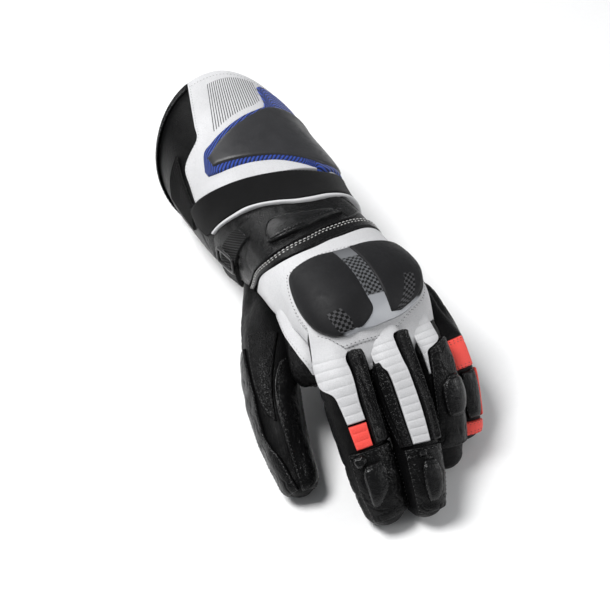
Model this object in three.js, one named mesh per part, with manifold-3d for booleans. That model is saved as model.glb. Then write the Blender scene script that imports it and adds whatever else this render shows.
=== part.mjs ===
// A long motorcycle race glove for the left hand, standing on a table as if a hand were in it.
// The fingers point towards -Y, the cuff opens towards +Y and the thumb is at -X. Sizes are in mm.
// Every piece is laid out on a tube: a row of sections along the hand, or along one finger.
// A place on a tube is a station s, counted in rows of its table, and an angle in degrees from the
// tube's top line, positive towards the little finger.
import * as THREE from "three";
import { mergeVertices } from "three/addons/utils/BufferGeometryUtils.js";
import Module from "manifold-3d";

const wasm = await Module();
wasm.setup();

// Driving dimensions
const WALL = 2;
const GAP = 0.35;
const LAYER_GAP = 0.7;
const BARE = 0.2;
const SKIN = 1.0;
const RIB_HEIGHT = 0.9;
const GUARD_RISE = 2.6;
const PAD_RISE = 1.4;
const BUMP_RISE = 0.8;
const PIPING_HEIGHT = 0.5;
const PIPING_WIDTH = 0.11;
const SEAM_GAP = 0.02;
const PIPING_RISE = 0.4;
const LOBE_SKIN = 0.8;
const WRIST_CUT = 116;
const RIM_START = 150;
const RIM_LENGTH = 202;
const RIM_THUMB_SIDE = 0.008;
const RIM_LITTLE_SIDE = 0.024;
const RIM_UNDERSIDE = 24;
const TIP_ROUNDING = 0.95;
const FRAME_STEP = 0.01;
const MERGE = 1e-4;
const ORIGIN = { x: -16.4, y: 56.7 };

// Heights of the two or three layers that lie on a tube: bottom and top above its surface
const LAYER_1 = { low: LAYER_GAP, high: LAYER_GAP + SKIN };
const LAYER_2 = { low: LAYER_1.high + LAYER_GAP, high: LAYER_1.high + LAYER_GAP + SKIN };
const LAYER_3 = { low: LAYER_2.high + LAYER_GAP, high: LAYER_2.high + LAYER_GAP + SKIN };

const ROOT = LAYER_1.high + RIB_HEIGHT + GAP + LAYER_GAP;

const COLOURS = {
  black: { color: 0x1f1f20, roughness: 0.55, metalness: 0 },
  white: { color: 0xebebec, roughness: 0.5, metalness: 0 },
  red: { color: 0xff4b45, roughness: 0.5, metalness: 0 },
  blue: { color: 0x2f45a5, roughness: 0.6, metalness: 0 },
  shell: { color: 0x3a3a3c, roughness: 0.25, metalness: 0.1 },
  grey: { color: 0xa9abb0, roughness: 0.4, metalness: 0.1 },
};

// A table is read with its column names, so that each row becomes { column: value }
function table(columns, rows) {
  const names = columns.split(" ");
  return rows.map((row) => Object.fromEntries(names.map((name, i) => [name, row[i]])));
}

const SECTION = "x y z half up down roll n";
const FINGER_SECTION = "x y z half up down";

// Hand and cuff from the rim to the knuckles; down is cut off at the table's top
const HAND = table(SECTION, [
  [-4, 205, 46, 41, 41, 50, 0, 2.2],
  [-4, 174, 45, 42, 40, 50, 0, 2.2],
  [-4, 144, 45, 41, 38, 48, 0, 2.2],
  [-3, 116, 46, 41, 34, 42, 0, 2.2],
  [-4, 88, 50, 37, 30, 33, -2, 2.3],
  [-4, 60, 56, 35.5, 26, 29, -4, 2.4],
  [-5, 32, 61, 35, 23, 26, -8, 2.5],
  [-5, 5, 65, 34.5, 21, 22, -12, 2.5],
  [-6, -20, 52, 31, 10, 13, -14, 2.4],
]);
const WEB = table(FINGER_SECTION, [
  [-18, 46, 58, 14, 12, 12],
  [-30, 22, 54, 12, 13, 13],
  [-39, 0, 47, 10, 12, 12],
]);
const INDEX = table(FINGER_SECTION, [
  [-24, 20, 73, 11, 11.5, 13],
  [-28, 0, 73, 11.8, 12, 13],
  [-32.5, -21, 59, 12.2, 12, 12.5],
  [-34.5, -42, 40.5, 12.2, 11.5, 12],
  [-35, -60, 23, 11.8, 11, 11.5],
  [-34, -69, 10.4, 10.8, 10.5, 11],
]);
const MIDDLE = table(FINGER_SECTION, [
  [-4, 20, 73, 11, 11.5, 13],
  [-6, -2, 73, 11.8, 12, 13],
  [-7.5, -24, 59, 12, 12, 12.5],
  [-9, -47, 40.5, 11.8, 11.5, 12],
  [-13, -67, 23, 10.8, 11, 11.5],
  [-15, -76, 10.4, 9, 10.2, 11],
]);
const RING = table(FINGER_SECTION, [
  [14, 22, 66, 10.8, 11.5, 13],
  [14.5, 2, 66, 11.3, 11.5, 12.5],
  [15, -18, 53, 11.4, 11.5, 12],
  [13.5, -36, 37, 11.4, 11.5, 12],
  [11, -48, 21, 11.2, 11, 11.5],
  [9, -53, 10, 10.4, 10.2, 10.5],
]);
const LITTLE = table(FINGER_SECTION, [
  [26, 26, 56, 10, 10.5, 12],
  [29.5, 8, 55, 10.4, 10.5, 12],
  [31.5, -10, 45, 10.2, 10.5, 11],
  [31.5, -25, 31, 10.2, 10.5, 11],
  [29.5, -36, 17, 10, 10, 10.5],
  [28, -42, 9.4, 9.4, 9.6, 10],
]);
const THUMB = table(FINGER_SECTION, [
  [-13, 90, 38, 16, 16, 18],
  [-28, 66, 37, 16.5, 15.5, 17.5],
  [-42, 40, 35, 15.5, 15, 16],
  [-55, 14, 30, 13, 14, 15],
  [-62, -12, 20, 11.2, 12.5, 13.5],
  [-64.5, -36, 10, 8.6, 9.5, 10.5],
]);

// All columns of a table at station s, on a smooth curve through its rows
function spline(rows, s) {
  const last = rows.length - 1;
  const i = Math.max(0, Math.min(Math.floor(s), last - 1));
  const t = s - i;
  const out = {};
  for (const key in rows[i]) {
    const b = rows[i][key];
    const c = rows[i + 1][key];
    const a = i > 0 ? rows[i - 1][key] : 2 * b - c;
    const d = i + 2 <= last ? rows[i + 2][key] : 2 * c - b;
    const bend = 2 * a - 5 * b + 4 * c - d;
    const twist = 3 * b - a - 3 * c + d;
    out[key] = 0.5 * (2 * b + (c - a) * t + bend * t * t + twist * t ** 3);
  }
  return out;
}

// The section's centre, its directions along (T), across (U) and up (V), and its sizes
function sectionAt(rows, s) {
  const before = spline(rows, s - FRAME_STEP);
  const after = spline(rows, s + FRAME_STEP);
  const size = spline(rows, s);
  const T = new THREE.Vector3(after.x - before.x, after.y - before.y, after.z - before.z).normalize();
  const across = new THREE.Vector3(1, 0, 0).addScaledVector(T, -T.x).normalize();
  const up = new THREE.Vector3().crossVectors(T, across);
  const roll = THREE.MathUtils.degToRad(size.roll ?? 0);
  const U = across.clone().multiplyScalar(Math.cos(roll)).addScaledVector(up, Math.sin(roll));
  const V = up.clone().multiplyScalar(Math.cos(roll)).addScaledVector(across, -Math.sin(roll));
  return { centre: new THREE.Vector3(size.x, size.y, size.z), T, U, V, size };
}

// The cuff's rim is cut back towards both sides, most of all at the little finger's side, and its
// underside is shorter than its top
function rimLength(x, z) {
  const side = (x < 0 ? RIM_THUMB_SIDE : RIM_LITTLE_SIDE) * x * x;
  const below = THREE.MathUtils.smoothstep(-z, -HAND[0].z, 0);
  return RIM_LENGTH - side * (1 - 0.6 * below) - RIM_UNDERSIDE * below;
}

// The point at station s and an angle, a height above the tube's surface. Stations past the last
// row run over the rounded tip, a quarter ellipse. Nothing reaches below the table's top.
function pointAt(rows, s, angle, height) {
  const last = rows.length - 1;
  const tip = Math.min(Math.max(s - last, 0), 1) * (Math.PI / 2);
  const { centre, T, U, V, size } = sectionAt(rows, Math.min(s, last));
  const turn = THREE.MathUtils.degToRad(90 - angle);
  const power = 2 / (size.n ?? 2.4);
  const c = Math.cos(turn);
  const w = Math.sin(turn);
  const shrink = Math.cos(tip);
  const half = size.half + height;
  const tall = (w > 0 ? size.up : size.down) + height;
  const p = centre.clone();
  p.addScaledVector(U, half * Math.sign(c) * Math.abs(c) ** power * shrink);
  p.addScaledVector(V, tall * Math.sign(w) * Math.abs(w) ** power * shrink);
  p.addScaledVector(T, half * TIP_ROUNDING * Math.sin(tip));
  if (rows === HAND && p.y > RIM_START) {
    p.y = RIM_START + ((p.y - RIM_START) * (rimLength(p.x, p.z) - RIM_START)) / (HAND[0].y - RIM_START);
  }
  p.z = Math.max(p.z, -Math.min(height, 0));
  return p;
}

// A closed mesh from its points and triangles, with its faces turned outward
function closedMesh(points, triangles) {
  const merged = new THREE.BufferGeometry();
  const numbers = points.flatMap((p) => [p.x, p.y, p.z]);
  merged.setAttribute("position", new THREE.Float32BufferAttribute(numbers, 3));
  merged.setIndex(triangles.flat());
  const geometry = mergeVertices(merged, MERGE);
  const position = geometry.attributes.position;
  const index = geometry.index.array;
  const corner = [new THREE.Vector3(), new THREE.Vector3(), new THREE.Vector3()];
  const kept = [];
  let volume = 0;
  for (let i = 0; i < index.length; i += 3) {
    const [a, b, c] = [index[i], index[i + 1], index[i + 2]];
    if (a === b || b === c || c === a) continue;
    corner.forEach((v, k) => v.fromBufferAttribute(position, index[i + k]));
    volume += corner[0].dot(corner[1].clone().cross(corner[2]));
    kept.push([a, b, c]);
  }
  geometry.setIndex(kept.flatMap(([a, b, c]) => (volume > 0 ? [a, b, c] : [a, c, b])));
  return geometry;
}

// The two triangles of each cell between two rows of points, given by their numbers
function strip(first, second, closed) {
  const cells = [];
  const count = closed ? first.length : first.length - 1;
  for (let j = 0; j < count; j++) {
    const k = (j + 1) % first.length;
    cells.push([first[j], first[k], second[k]], [first[j], second[k], second[j]]);
  }
  return cells;
}

// A whole tube at a height above its surface, from one station to another, with both ends closed
function tubeSolid(rows, height, { from = 0, to = rows.length, sides = 18, steps = 18 } = {}) {
  const points = [];
  const triangles = [];
  let previous = null;
  for (let i = 0; i <= steps; i++) {
    const s = from + ((to - from) * i) / steps;
    const ring = [];
    for (let j = 0; j < sides; j++) {
      ring.push(points.length);
      points.push(pointAt(rows, s, (360 * j) / sides, height));
    }
    if (previous) triangles.push(...strip(previous, ring, true));
    if (i === 0 || i === steps) {
      const middle = points.length;
      const sum = ring.reduce((total, n) => total.add(points[n]), new THREE.Vector3());
      points.push(sum.divideScalar(sides));
      ring.forEach((n, j) => {
        const m = ring[(j + 1) % sides];
        triangles.push(i === 0 ? [middle, m, n] : [middle, n, m]);
      });
    }
    previous = ring;
  }
  return toSolid(closedMesh(points, triangles));
}

// A flap of leather on a tube. place(p, q) gives its station and angle for p across and q along,
// both from 0 to 1; top(p, q) is the extra height of its upper face.
function flapSolid(rows, place, layer, { across = 6, along = 6, top = () => 0 } = {}) {
  const points = [];
  const grid = (height) => {
    const numbers = [];
    for (let i = 0; i <= along; i++) {
      const line = [];
      for (let j = 0; j <= across; j++) {
        const { s, angle } = place(j / across, i / along);
        line.push(points.length);
        points.push(pointAt(rows, s, angle, height(j / across, i / along)));
      }
      numbers.push(line);
    }
    return numbers;
  };
  const upper = grid((p, q) => layer.high + top(p, q));
  const lower = grid(() => layer.low);
  const triangles = [];
  for (let i = 0; i < along; i++) {
    triangles.push(...strip(upper[i], upper[i + 1], false));
    triangles.push(...strip(lower[i + 1], lower[i], false));
  }
  const column = (numbers, j) => numbers.map((line) => line[j]);
  triangles.push(...strip(lower[0], upper[0], false));
  triangles.push(...strip(upper[along], lower[along], false));
  triangles.push(...strip(column(upper, 0), column(lower, 0), false));
  triangles.push(...strip(column(lower, across), column(upper, across), false));
  return toSolid(closedMesh(points, triangles));
}

// Outlines given as the left and right angle at each station
function byStation(rows) {
  return (p, q) => {
    const row = spline(rows, q * (rows.length - 1));
    return { s: row.s, angle: row.left + (row.right - row.left) * p };
  };
}

// The same, with stations that grow evenly with q, so that ribs keep their width
function byEvenStation(rows) {
  const last = rows.length - 1;
  return (p, q) => {
    const s = rows[0].s + (rows[last].s - rows[0].s) * q;
    const i = Math.max(0, Math.min(last - 1, rows.findIndex((row) => row.s >= s) - 1));
    const t = (s - rows[i].s) / (rows[i + 1].s - rows[i].s);
    const left = rows[i].left + (rows[i + 1].left - rows[i].left) * t;
    const right = rows[i].right + (rows[i + 1].right - rows[i].right) * t;
    return { s, angle: left + (right - left) * p };
  };
}

// Outlines given as the far and near station at each angle
function byAngle(rows) {
  return (p, q) => {
    const row = spline(rows, p * (rows.length - 1));
    return { s: row.far + (row.near - row.far) * q, angle: row.angle };
  };
}

const dome = (rise) => (p, q) => rise * Math.sqrt(Math.sin(Math.PI * p) * Math.sin(Math.PI * q));
const ribs = (count) => (p, q) => RIB_HEIGHT * Math.abs(Math.sin(Math.PI * count * q));

function toSolid(geometry) {
  const vertProperties = new Float32Array(geometry.attributes.position.array);
  const triVerts = new Uint32Array(geometry.index.array);
  return new wasm.Manifold(new wasm.Mesh({ numProp: 3, vertProperties, triVerts }));
}

function toGeometry(solid) {
  const { vertProperties, triVerts } = solid.getMesh();
  const geometry = new THREE.BufferGeometry();
  geometry.setAttribute("position", new THREE.BufferAttribute(new Float32Array(vertProperties), 3));
  geometry.setIndex(new THREE.BufferAttribute(new Uint32Array(triVerts), 1));
  return geometry;
}

function box(x0, x1, y0, y1, z0, z1) {
  const geometry = new THREE.BoxGeometry(x1 - x0, y1 - y0, z1 - z0);
  geometry.translate((x0 + x1) / 2, (y0 + y1) / 2, (z0 + z1) / 2);
  geometry.deleteAttribute("normal");
  geometry.deleteAttribute("uv");
  return toSolid(mergeVertices(geometry, MERGE));
}

const group = new THREE.Group();
group.position.set(-ORIGIN.x, -ORIGIN.y, 0);

function add(name, solid, colour) {
  const mesh = new THREE.Mesh(toGeometry(solid), new THREE.MeshStandardMaterial(COLOURS[colour]));
  mesh.name = name;
  group.add(mesh);
}

const without = (solid, ...others) => others.reduce((left, other) => left.subtract(other), solid);

// The leather shells: each tube's outside, less its inside
const HAND_MESH = { to: 8, sides: 20, steps: 16 };
const HAND_HOLLOW = { from: -0.4, to: 7.9, sides: 12, steps: 9 };
const WEB_MESH = { sides: 10, steps: 6 };
const FINGER_MESH = { sides: 12, steps: 10 };
const FINGER_HOLLOW = { sides: 8, steps: 6 };
const FINGERS = { index: INDEX, middle: MIDDLE, ring: RING, little: LITTLE, thumb: THUMB };

const handOutside = tubeSolid(HAND, 0, HAND_MESH).add(tubeSolid(WEB, 0, WEB_MESH));
const handClear = tubeSolid(HAND, GAP, { ...HAND_MESH, to: 8.01 }).add(tubeSolid(WEB, GAP, WEB_MESH));
const handBare = tubeSolid(HAND, BARE, { ...HAND_MESH, to: 8.01 });
const handHollow = tubeSolid(HAND, -WALL, HAND_HOLLOW).add(tubeSolid(WEB, -WALL, WEB_MESH));
const outside = {};
const clear = {};
const hollow = {};
const bare = {};
for (const finger in FINGERS) {
  outside[finger] = tubeSolid(FINGERS[finger], 0, FINGER_MESH);
  clear[finger] = tubeSolid(FINGERS[finger], GAP, FINGER_MESH);
  hollow[finger] = tubeSolid(FINGERS[finger], -WALL, FINGER_HOLLOW);
  bare[finger] = tubeSolid(FINGERS[finger], BARE, FINGER_MESH);
}

function buildShells() {
  const far = 250;
  const cuffSide = box(-far, far, WRIST_CUT + GAP / 2, far, -far, far);
  const handSide = box(-far, far, -far, WRIST_CUT - GAP / 2, -far, far);
  const shell = handOutside.subtract(handHollow);
  add("cuff_shell", shell.intersect(cuffSide), "black");
  add("hand_shell", without(shell.intersect(handSide), ...Object.values(hollow)), "black");
  const before = { index: [], middle: ["index"], ring: ["middle"], little: ["ring"], thumb: ["index"] };
  for (const finger in FINGERS) {
    const neighbours = before[finger].map((name) => clear[name]);
    const solid = without(outside[finger], hollow[finger], handClear, ...neighbours);
    add(finger === "thumb" ? "thumb" : finger + "_finger", largest(solid), "black");
  }
}

// One piece on the hand's tube, clear of the shell and of the pieces that it is cut by
function onHand(name, place, layer, colour, shape, ...cutters) {
  const solid = flapSolid(HAND, place, layer, shape);
  const under = layer.low < LAYER_2.low ? [handBare] : [];
  add(name, largest(without(solid, ...under, ...cutters)), colour);
}

// Only the biggest of the separate bodies that a cut leaves
function largest(solid) {
  const bodies = solid.decompose();
  return bodies.reduce((best, body) => (body.volume() > best.volume() ? body : best));
}

// The white gauntlet panel, the dark plate with its woven border, and the ribbed stretch gusset
const GAUNTLET_PANEL = table("s left right", [
  [0.02, -16, 68],
  [0.6, -24, 74],
  [1.1, -30, 78],
  [1.5, -36, 80],
  [1.75, -58, 80],
  [2.1, -66, 80],
  [2.5, -73, 80],
  [3.0, -72, 84],
  [3.42, -50, 84],
]);
const PLATE_BORDER = table("angle far near", [
  [-45, 2.3, 2.42],
  [-36, 1.95, 2.56],
  [-26, 1.86, 2.68],
  [-8, 1.68, 2.89],
  [4, 1.54, 3.05],
  [16, 1.42, 3.22],
  [25, 1.2, 3.34],
  [31, 0.4, 3.42],
  [42, 0.36, 3.46],
  [60, 0.45, 3.32],
  [80, 0.75, 3.14],
]);
const GAUNTLET_PLATE = table("angle far near", [
  [-36, 2.25, 2.33],
  [-30, 2.08, 2.44],
  [-8, 1.82, 2.76],
  [11, 1.57, 3.05],
  [25, 1.38, 3.22],
  [41, 1.29, 3.33],
  [60, 1.2, 3.2],
  [76, 1.15, 3.05],
]);
const STRETCH_GUSSET = table("s left right", [
  [1.15, -96, -58],
  [1.6, -98, -66],
  [2.0, -100, -74],
  [2.3, -100, -80],
]);
const CUFF_BINDING = table("s left right", [
  [0.01, 71, 340],
  [0.13, 72, 339],
]);

function buildGauntlet() {
  onHand("gauntlet_panel", byStation(GAUNTLET_PANEL), LAYER_1, "white", { across: 11, along: 6 });
  onHand("plate_border", byAngle(PLATE_BORDER), LAYER_2, "blue", { across: 11, along: 6 });
  onHand("gauntlet_plate", byAngle(GAUNTLET_PLATE), LAYER_3, "shell", { across: 9, along: 4 });
  const shape = { across: 2, along: 16, top: ribs(8) };
  onHand("stretch_gusset", byStation(STRETCH_GUSSET), LAYER_1, "black", shape);
  onHand("cuff_binding", byStation(CUFF_BINDING), LAYER_1, "black", { across: 24, along: 1 });
}

// The wide closure flap across the wrist, its white piping, and the narrow strap with its slider
const CLOSURE_FLAP = table("angle far near", [
  [-88, 2.62, 3.16],
  [-81, 2.36, 3.38],
  [-68, 2.48, 3.58],
  [-52, 2.74, 3.8],
  [-34, 3.06, 3.98],
  [-16, 3.3, 4.24],
  [2, 3.46, 4.48],
  [20, 3.58, 4.48],
  [38, 3.58, 4.42],
  [60, 3.4, 4.3],
  [82, 3.25, 4.2],
  [104, 3.2, 4.15],
]);
const WRIST_PANEL = table("angle far near", [
  [-108, 3.4, 4.56],
  [-87, 3.4, 4.97],
  [-58, 3.6, 5.35],
  [-21, 3.95, 5.45],
  [3, 4.15, 5.32],
  [26, 4.2, 5.18],
  [46, 4.2, 4.9],
]);
const WRIST_PAD = table("angle far near", [
  [-46, 5.02, 5.12],
  [-38, 4.78, 5.2],
  [-30, 4.64, 5.25],
  [-20, 4.7, 5.26],
  [-8, 4.8, 5.24],
  [6, 4.92, 5.14],
  [20, 5.0, 5.06],
]);
const SEAM_BAND = table("angle far near", [
  [-108, 4.62, 4.8],
  [-87, 5.02, 5.22],
  [-58, 5.4, 5.62],
  [-21, 5.5, 5.78],
  [3, 5.37, 5.66],
  [34, 5.2, 5.44],
  [60, 5.1, 5.34],
  [84, 5.0, 5.24],
]);
const WRIST_STRAP = table("angle far near", [
  [-122, 3.55, 4.1],
  [-96, 3.7, 4.25],
  [-70, 3.96, 4.46],
  [-56, 4.14, 4.56],
]);
const SLIDER_FRAME = table("s left right", [
  [3.66, -98, -84],
  [4.4, -98, -84],
]);
const SLIDER_WINDOW = table("s left right", [
  [3.84, -94.5, -87.5],
  [4.2, -94.5, -87.5],
]);

function buildWrist() {
  const wide = { across: 14, along: 3 };
  onHand("closure_flap", byAngle(CLOSURE_FLAP), LAYER_2, "black", wide);
  const piping = CLOSURE_FLAP.slice(1).map((row) => ({
    angle: row.angle,
    far: row.near + SEAM_GAP,
    near: row.near + PIPING_WIDTH,
  }));
  const bead = { low: LAYER_2.low, high: LAYER_2.high + PIPING_HEIGHT };
  onHand("flap_piping", byAngle(piping), bead, "white", { across: 14, along: 2, top: dome(PIPING_RISE) });
  onHand("wrist_panel", byAngle(WRIST_PANEL), LAYER_1, "black", { across: 10, along: 4 }, clear.thumb);
  const puffed = { across: 8, along: 4, top: dome(PAD_RISE) };
  onHand("wrist_pad", byAngle(WRIST_PAD), LAYER_2, "black", puffed);
  onHand("wrist_seam_band", byAngle(SEAM_BAND), LAYER_1, "black", { across: 12, along: 2 }, clear.thumb);
  onHand("wrist_strap", byAngle(WRIST_STRAP), LAYER_2, "black", { across: 6, along: 1 }, clear.thumb);
  const deep = { low: LAYER_3.low - SKIN, high: LAYER_3.high + SKIN };
  const frame = flapSolid(HAND, byStation(SLIDER_FRAME), LAYER_3, { across: 2, along: 2 });
  const window = flapSolid(HAND, byStation(SLIDER_WINDOW), deep, { across: 1, along: 1 });
  add("strap_slider", frame.subtract(window), "shell");
}

// The white back panel and the knuckle guard: a stitched rim, a light frame and two dark lobes
const BACK_PANEL_END = 7.97;
const GUARD = table("s left right", [
  [6.24, -50, 36],
  [6.36, -63, 48],
  [6.6, -74, 53],
  [6.86, -81, 53],
  [7.08, -81, 44],
  [7.26, -74, 29],
  [7.4, -58, 9],
  [7.48, -40, -13],
]);

const RIM_SIDE = 8;
const RIM_END = 0.15;
const LOBE_SIDE = 4;
const LOBE_END = 0.08;
const DIVIDER_LEFT = -9;
const DIVIDER_RIGHT = -1;
const OUTER_ROWS = 6;
const BACK_PANEL_CORNER = { angle: -104, far: 5.02, near: 6.4 };
const BACK_PANEL_SIDE = table("s left right", [
  [1.0, -84, 40],
  [1.4, -74, 50],
  [2.0, -36, 60],
  [2.6, -4, 66],
]);

function widened(rows, side, end) {
  const last = rows.length - 1;
  return rows.map((row, i) => ({
    s: row.s + (i === 0 ? -end : i === last ? end : 0),
    left: row.left - side,
    right: row.right + side,
  }));
}

function buildBack() {
  const panel = SEAM_BAND.slice(1).map((row) => ({
    angle: row.angle,
    far: row.near + 1.5 * SEAM_GAP,
    near: BACK_PANEL_END,
  }));
  panel.unshift(BACK_PANEL_CORNER);
  const roots = ["index", "middle", "ring"].map((finger) => tubeSolid(FINGERS[finger], ROOT, FINGER_MESH));
  const cutters = [...roots, clear.little, clear.thumb];
  const back = flapSolid(HAND, byAngle(panel), LAYER_1, { across: 10, along: 5 });
  const side = flapSolid(WEB, byStation(BACK_PANEL_SIDE), LAYER_1, { across: 3, along: 4 });
  const shells = [handBare, tubeSolid(WEB, BARE, WEB_MESH)];
  add("back_panel", largest(without(back.add(side), ...shells, ...cutters)), "white");
  const flat = { across: 8, along: 6 };
  const base = { low: LAYER_2.low + GAP, high: LAYER_2.high + GAP };
  onHand("guard_rim", byStation(widened(GUARD, RIM_SIDE, RIM_END)), base, "white", flat, ...roots);
  const frame = { low: LAYER_3.low + GAP, high: LAYER_3.high + GAP };
  onHand("knuckle_guard", byStation(GUARD), frame, "grey", flat, ...roots);
  const lobe = { low: frame.high + LAYER_GAP, high: frame.high + LAYER_GAP + LOBE_SKIN };
  const inner = GUARD.map((row) => ({
    ...row,
    left: row.left + LOBE_SIDE,
    right: Math.min(row.right - LOBE_SIDE, DIVIDER_LEFT),
  }));
  const outer = GUARD.slice(0, OUTER_ROWS).map((row) => ({
    ...row,
    left: DIVIDER_RIGHT,
    right: row.right - LOBE_SIDE,
  }));
  const raised = { across: 6, along: 6, top: dome(GUARD_RISE) };
  const narrow = { ...raised, across: 5 };
  onHand("guard_inner_lobe", byStation(widened(inner, 0, -LOBE_END)), lobe, "shell", raised, ...roots);
  onHand("guard_outer_lobe", byStation(widened(outer, 0, -SEAM_GAP)), lobe, "shell", narrow);
}

const TONGUE_MESH = { across: 4, along: 8 };
const ROOM_MESH = { across: 2, along: 6 };
const PANEL_GAP_ANGLE = 1.6;
const PANEL_GAP_STATION = 0.02;
const PANEL_ROOM = { low: 0, high: LAYER_1.high + RIB_HEIGHT + GAP };

// What lies on each finger: a white or red ribbed strip, a black tongue with a rounded top on the
// side towards the next finger, a cap over the tip and a stuffed pad. Each row is a station with
// the left and right angle there.
const STRIPS = {
  index_ribs: {
    count: 8,
    rows: [
      [1.2, -84, 55],
      [1.56, -87, 52],
      [1.64, -88, 17],
      [1.76, -90, 3],
      [1.98, -89, 4],
      [2.16, -83, 4],
      [2.33, -48, 3],
      [2.56, -39, 2],
      [2.86, -34, 3],
    ],
  },
  index_red_ribs: {
    count: 3,
    rows: [[2.9, -34, 3], [3.34, -31, 2]],
  },
  middle_ribs: {
    count: 12,
    rows: [
      [1.2, -50, 60],
      [1.5, -56, 60],
      [1.6, -58, 20],
      [1.76, -60, 13],
      [1.99, -54, 11],
      [2.13, -33, 11],
      [2.3, -25, 13],
      [3.0, -24, 15],
      [3.48, -19, 17],
    ],
  },
  ring_ribs: {
    count: 6,
    rows: [
      [1.2, -30, 50],
      [1.77, -28, 36],
      [2.0, -25, 28],
      [2.14, -23, -5],
      [2.3, -22, -12],
      [2.6, -21, -16],
    ],
  },
};
const TONGUES = {
  index_tongue: [
    [1.63, 22, 38],
    [1.68, 12, 47],
    [1.77, 7, 52],
    [1.98, 8, 60],
    [2.2, 8, 62],
    [2.5, 7, 62],
    [3.34, 6, 60],
  ],
  middle_tongue: [
    [1.57, 38, 54],
    [1.62, 26, 60],
    [1.72, 18, 62],
    [2.05, 15, 62],
    [2.44, 17, 62],
    [2.92, 19, 60],
    [3.48, 21, 60],
  ],
  ring_panel: [[2.0, 40, 58], [2.14, 0, 60], [2.3, -8, 62], [2.64, -16, 62], [3.1, -24, 62], [4.4, -36, 62]],
};
const CAPS = {
  index_cap: [[3.37, -58, 58], [4.2, -62, 58], [5.25, -58, 54]],
  middle_cap: [[3.53, -46, 60], [4.3, -48, 60], [5.25, -48, 58]],
};
const PADS = {
  index_pad: [[3.62, -22, 2], [3.8, -34, 12], [4.1, -36, 8], [4.4, -38, -6], [4.6, -36, -22]],
  index_bump: [[3.42, -41, -22], [3.5, -46, -14], [3.58, -44, -16], [3.66, -40, -28]],
  middle_pad: [[3.76, -4, 14], [3.95, -12, 24], [4.3, -14, 24], [4.6, -12, 14], [4.78, -8, 4]],
  middle_bump: [[3.58, -12, 0], [3.65, -15, 3], [3.72, -12, 0]],
  ring_pad: [[2.7, 14, 36], [2.86, -2, 50], [3.15, -6, 54], [3.42, -4, 40], [3.56, 2, 20]],
};
const LITTLE_PARTS = {
  little_red_panel: { rows: [[2.2, -26, 36], [2.92, -36, 42]], colour: "red", rise: 0 },
  little_pad: {
    rows: [[3.0, -2, 38], [3.4, -10, 42], [4.1, -8, 42], [4.6, 0, 30]],
    colour: "black",
    rise: 1,
  },
  little_side_band: { rows: [[3.0, 48, 62], [4.6, 48, 62]], colour: "red", rise: 0 },
  little_tip_patch: { rows: [[4.75, -40, 50], [5.35, -40, 50]], colour: "red", rise: 0 },
};
const THUMB_PARTS = {
  thumb_back_panel: [
    [2.8, 22, 34],
    [2.86, 12, 48],
    [3.0, 4, 66],
    [3.15, -1, 74],
    [3.66, -9, 84],
    [4.17, -8, 84],
    [4.77, -12, 80],
    [5.3, -16, 70],
  ],
  thumb_side_panel: [
    [2.5, -104, -64],
    [2.95, -108, -57],
    [3.31, -112, -53],
    [3.98, -112, -60],
    [4.28, -112, -52],
    [4.57, -110, -40],
    [5.1, -104, -33],
  ],
};
const NEXT = {
  index: ["middle"],
  middle: ["index", "ring"],
  ring: ["middle", "little"],
  little: ["ring"],
  thumb: [],
};

// One piece on its finger's tube, clear of the hand, of the next fingers and of the cutters
function onFinger(name, rows, layer, colour, shape, outlineOf = byStation, cutters = []) {
  const finger = name.split("_")[0];
  const outline = outlineOf(table("s left right", rows));
  const solid = flapSolid(FINGERS[finger], outline, layer, shape);
  const neighbours = NEXT[finger].map((next) => clear[next]);
  add(name, largest(without(solid, bare[finger], handClear, ...neighbours, ...cutters)), colour);
}

// The room that a black panel takes out of the strips beside it
function roomOf(name) {
  const finger = name.split("_")[0];
  const rows = widened(table("s left right", TONGUES[name]), PANEL_GAP_ANGLE, PANEL_GAP_STATION);
  return flapSolid(FINGERS[finger], byStation(rows), PANEL_ROOM, ROOM_MESH);
}

function buildFingers() {
  for (const [name, { rows, count }] of Object.entries(STRIPS)) {
    const colour = name.includes("red") ? "red" : "white";
    const shape = { across: 2, along: 2 * count, top: ribs(count) };
    const beside = Object.keys(TONGUES).filter((panel) => panel.split("_")[0] === name.split("_")[0]);
    onFinger(name, rows, LAYER_1, colour, shape, byEvenStation, beside.map(roomOf));
  }
  for (const [name, rows] of Object.entries(TONGUES)) {
    onFinger(name, rows, LAYER_1, "black", TONGUE_MESH);
  }
  for (const [name, rows] of Object.entries(CAPS)) {
    onFinger(name, rows, LAYER_1, "black", { across: 6, along: 4 });
  }
  for (const [name, rows] of Object.entries(PADS)) {
    const size = name.endsWith("bump") ? { across: 3, along: 3 } : { across: 4, along: 5 };
    const top = dome(name.endsWith("bump") ? BUMP_RISE : PAD_RISE);
    onFinger(name, rows, LAYER_2, "black", { ...size, top });
  }
  for (const [name, { rows, colour, rise }] of Object.entries(LITTLE_PARTS)) {
    onFinger(name, rows, LAYER_1, colour, { across: 4, along: 5, top: dome(rise) });
  }
  for (const [name, rows] of Object.entries(THUMB_PARTS)) {
    onFinger(name, rows, LAYER_1, "black", { across: 4, along: 7 });
  }
}

buildShells();
buildGauntlet();
buildWrist();
buildBack();
buildFingers();

export default group;
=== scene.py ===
"""A long leather race glove for the left hand, standing palm down as if a hand were in it.

The fingers point towards -Y, the cuff opens towards +Y and the thumb is at -X. Every piece of leather
is laid on a tube, a row of sections along the hand or along one finger. A place on a tube is a station
s, counted in rows of its table, an angle in degrees from its top line, positive towards the little
finger, and a height above its surface. Tables and heights are in mm, and the meshes in metres.
"""

import math

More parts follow.
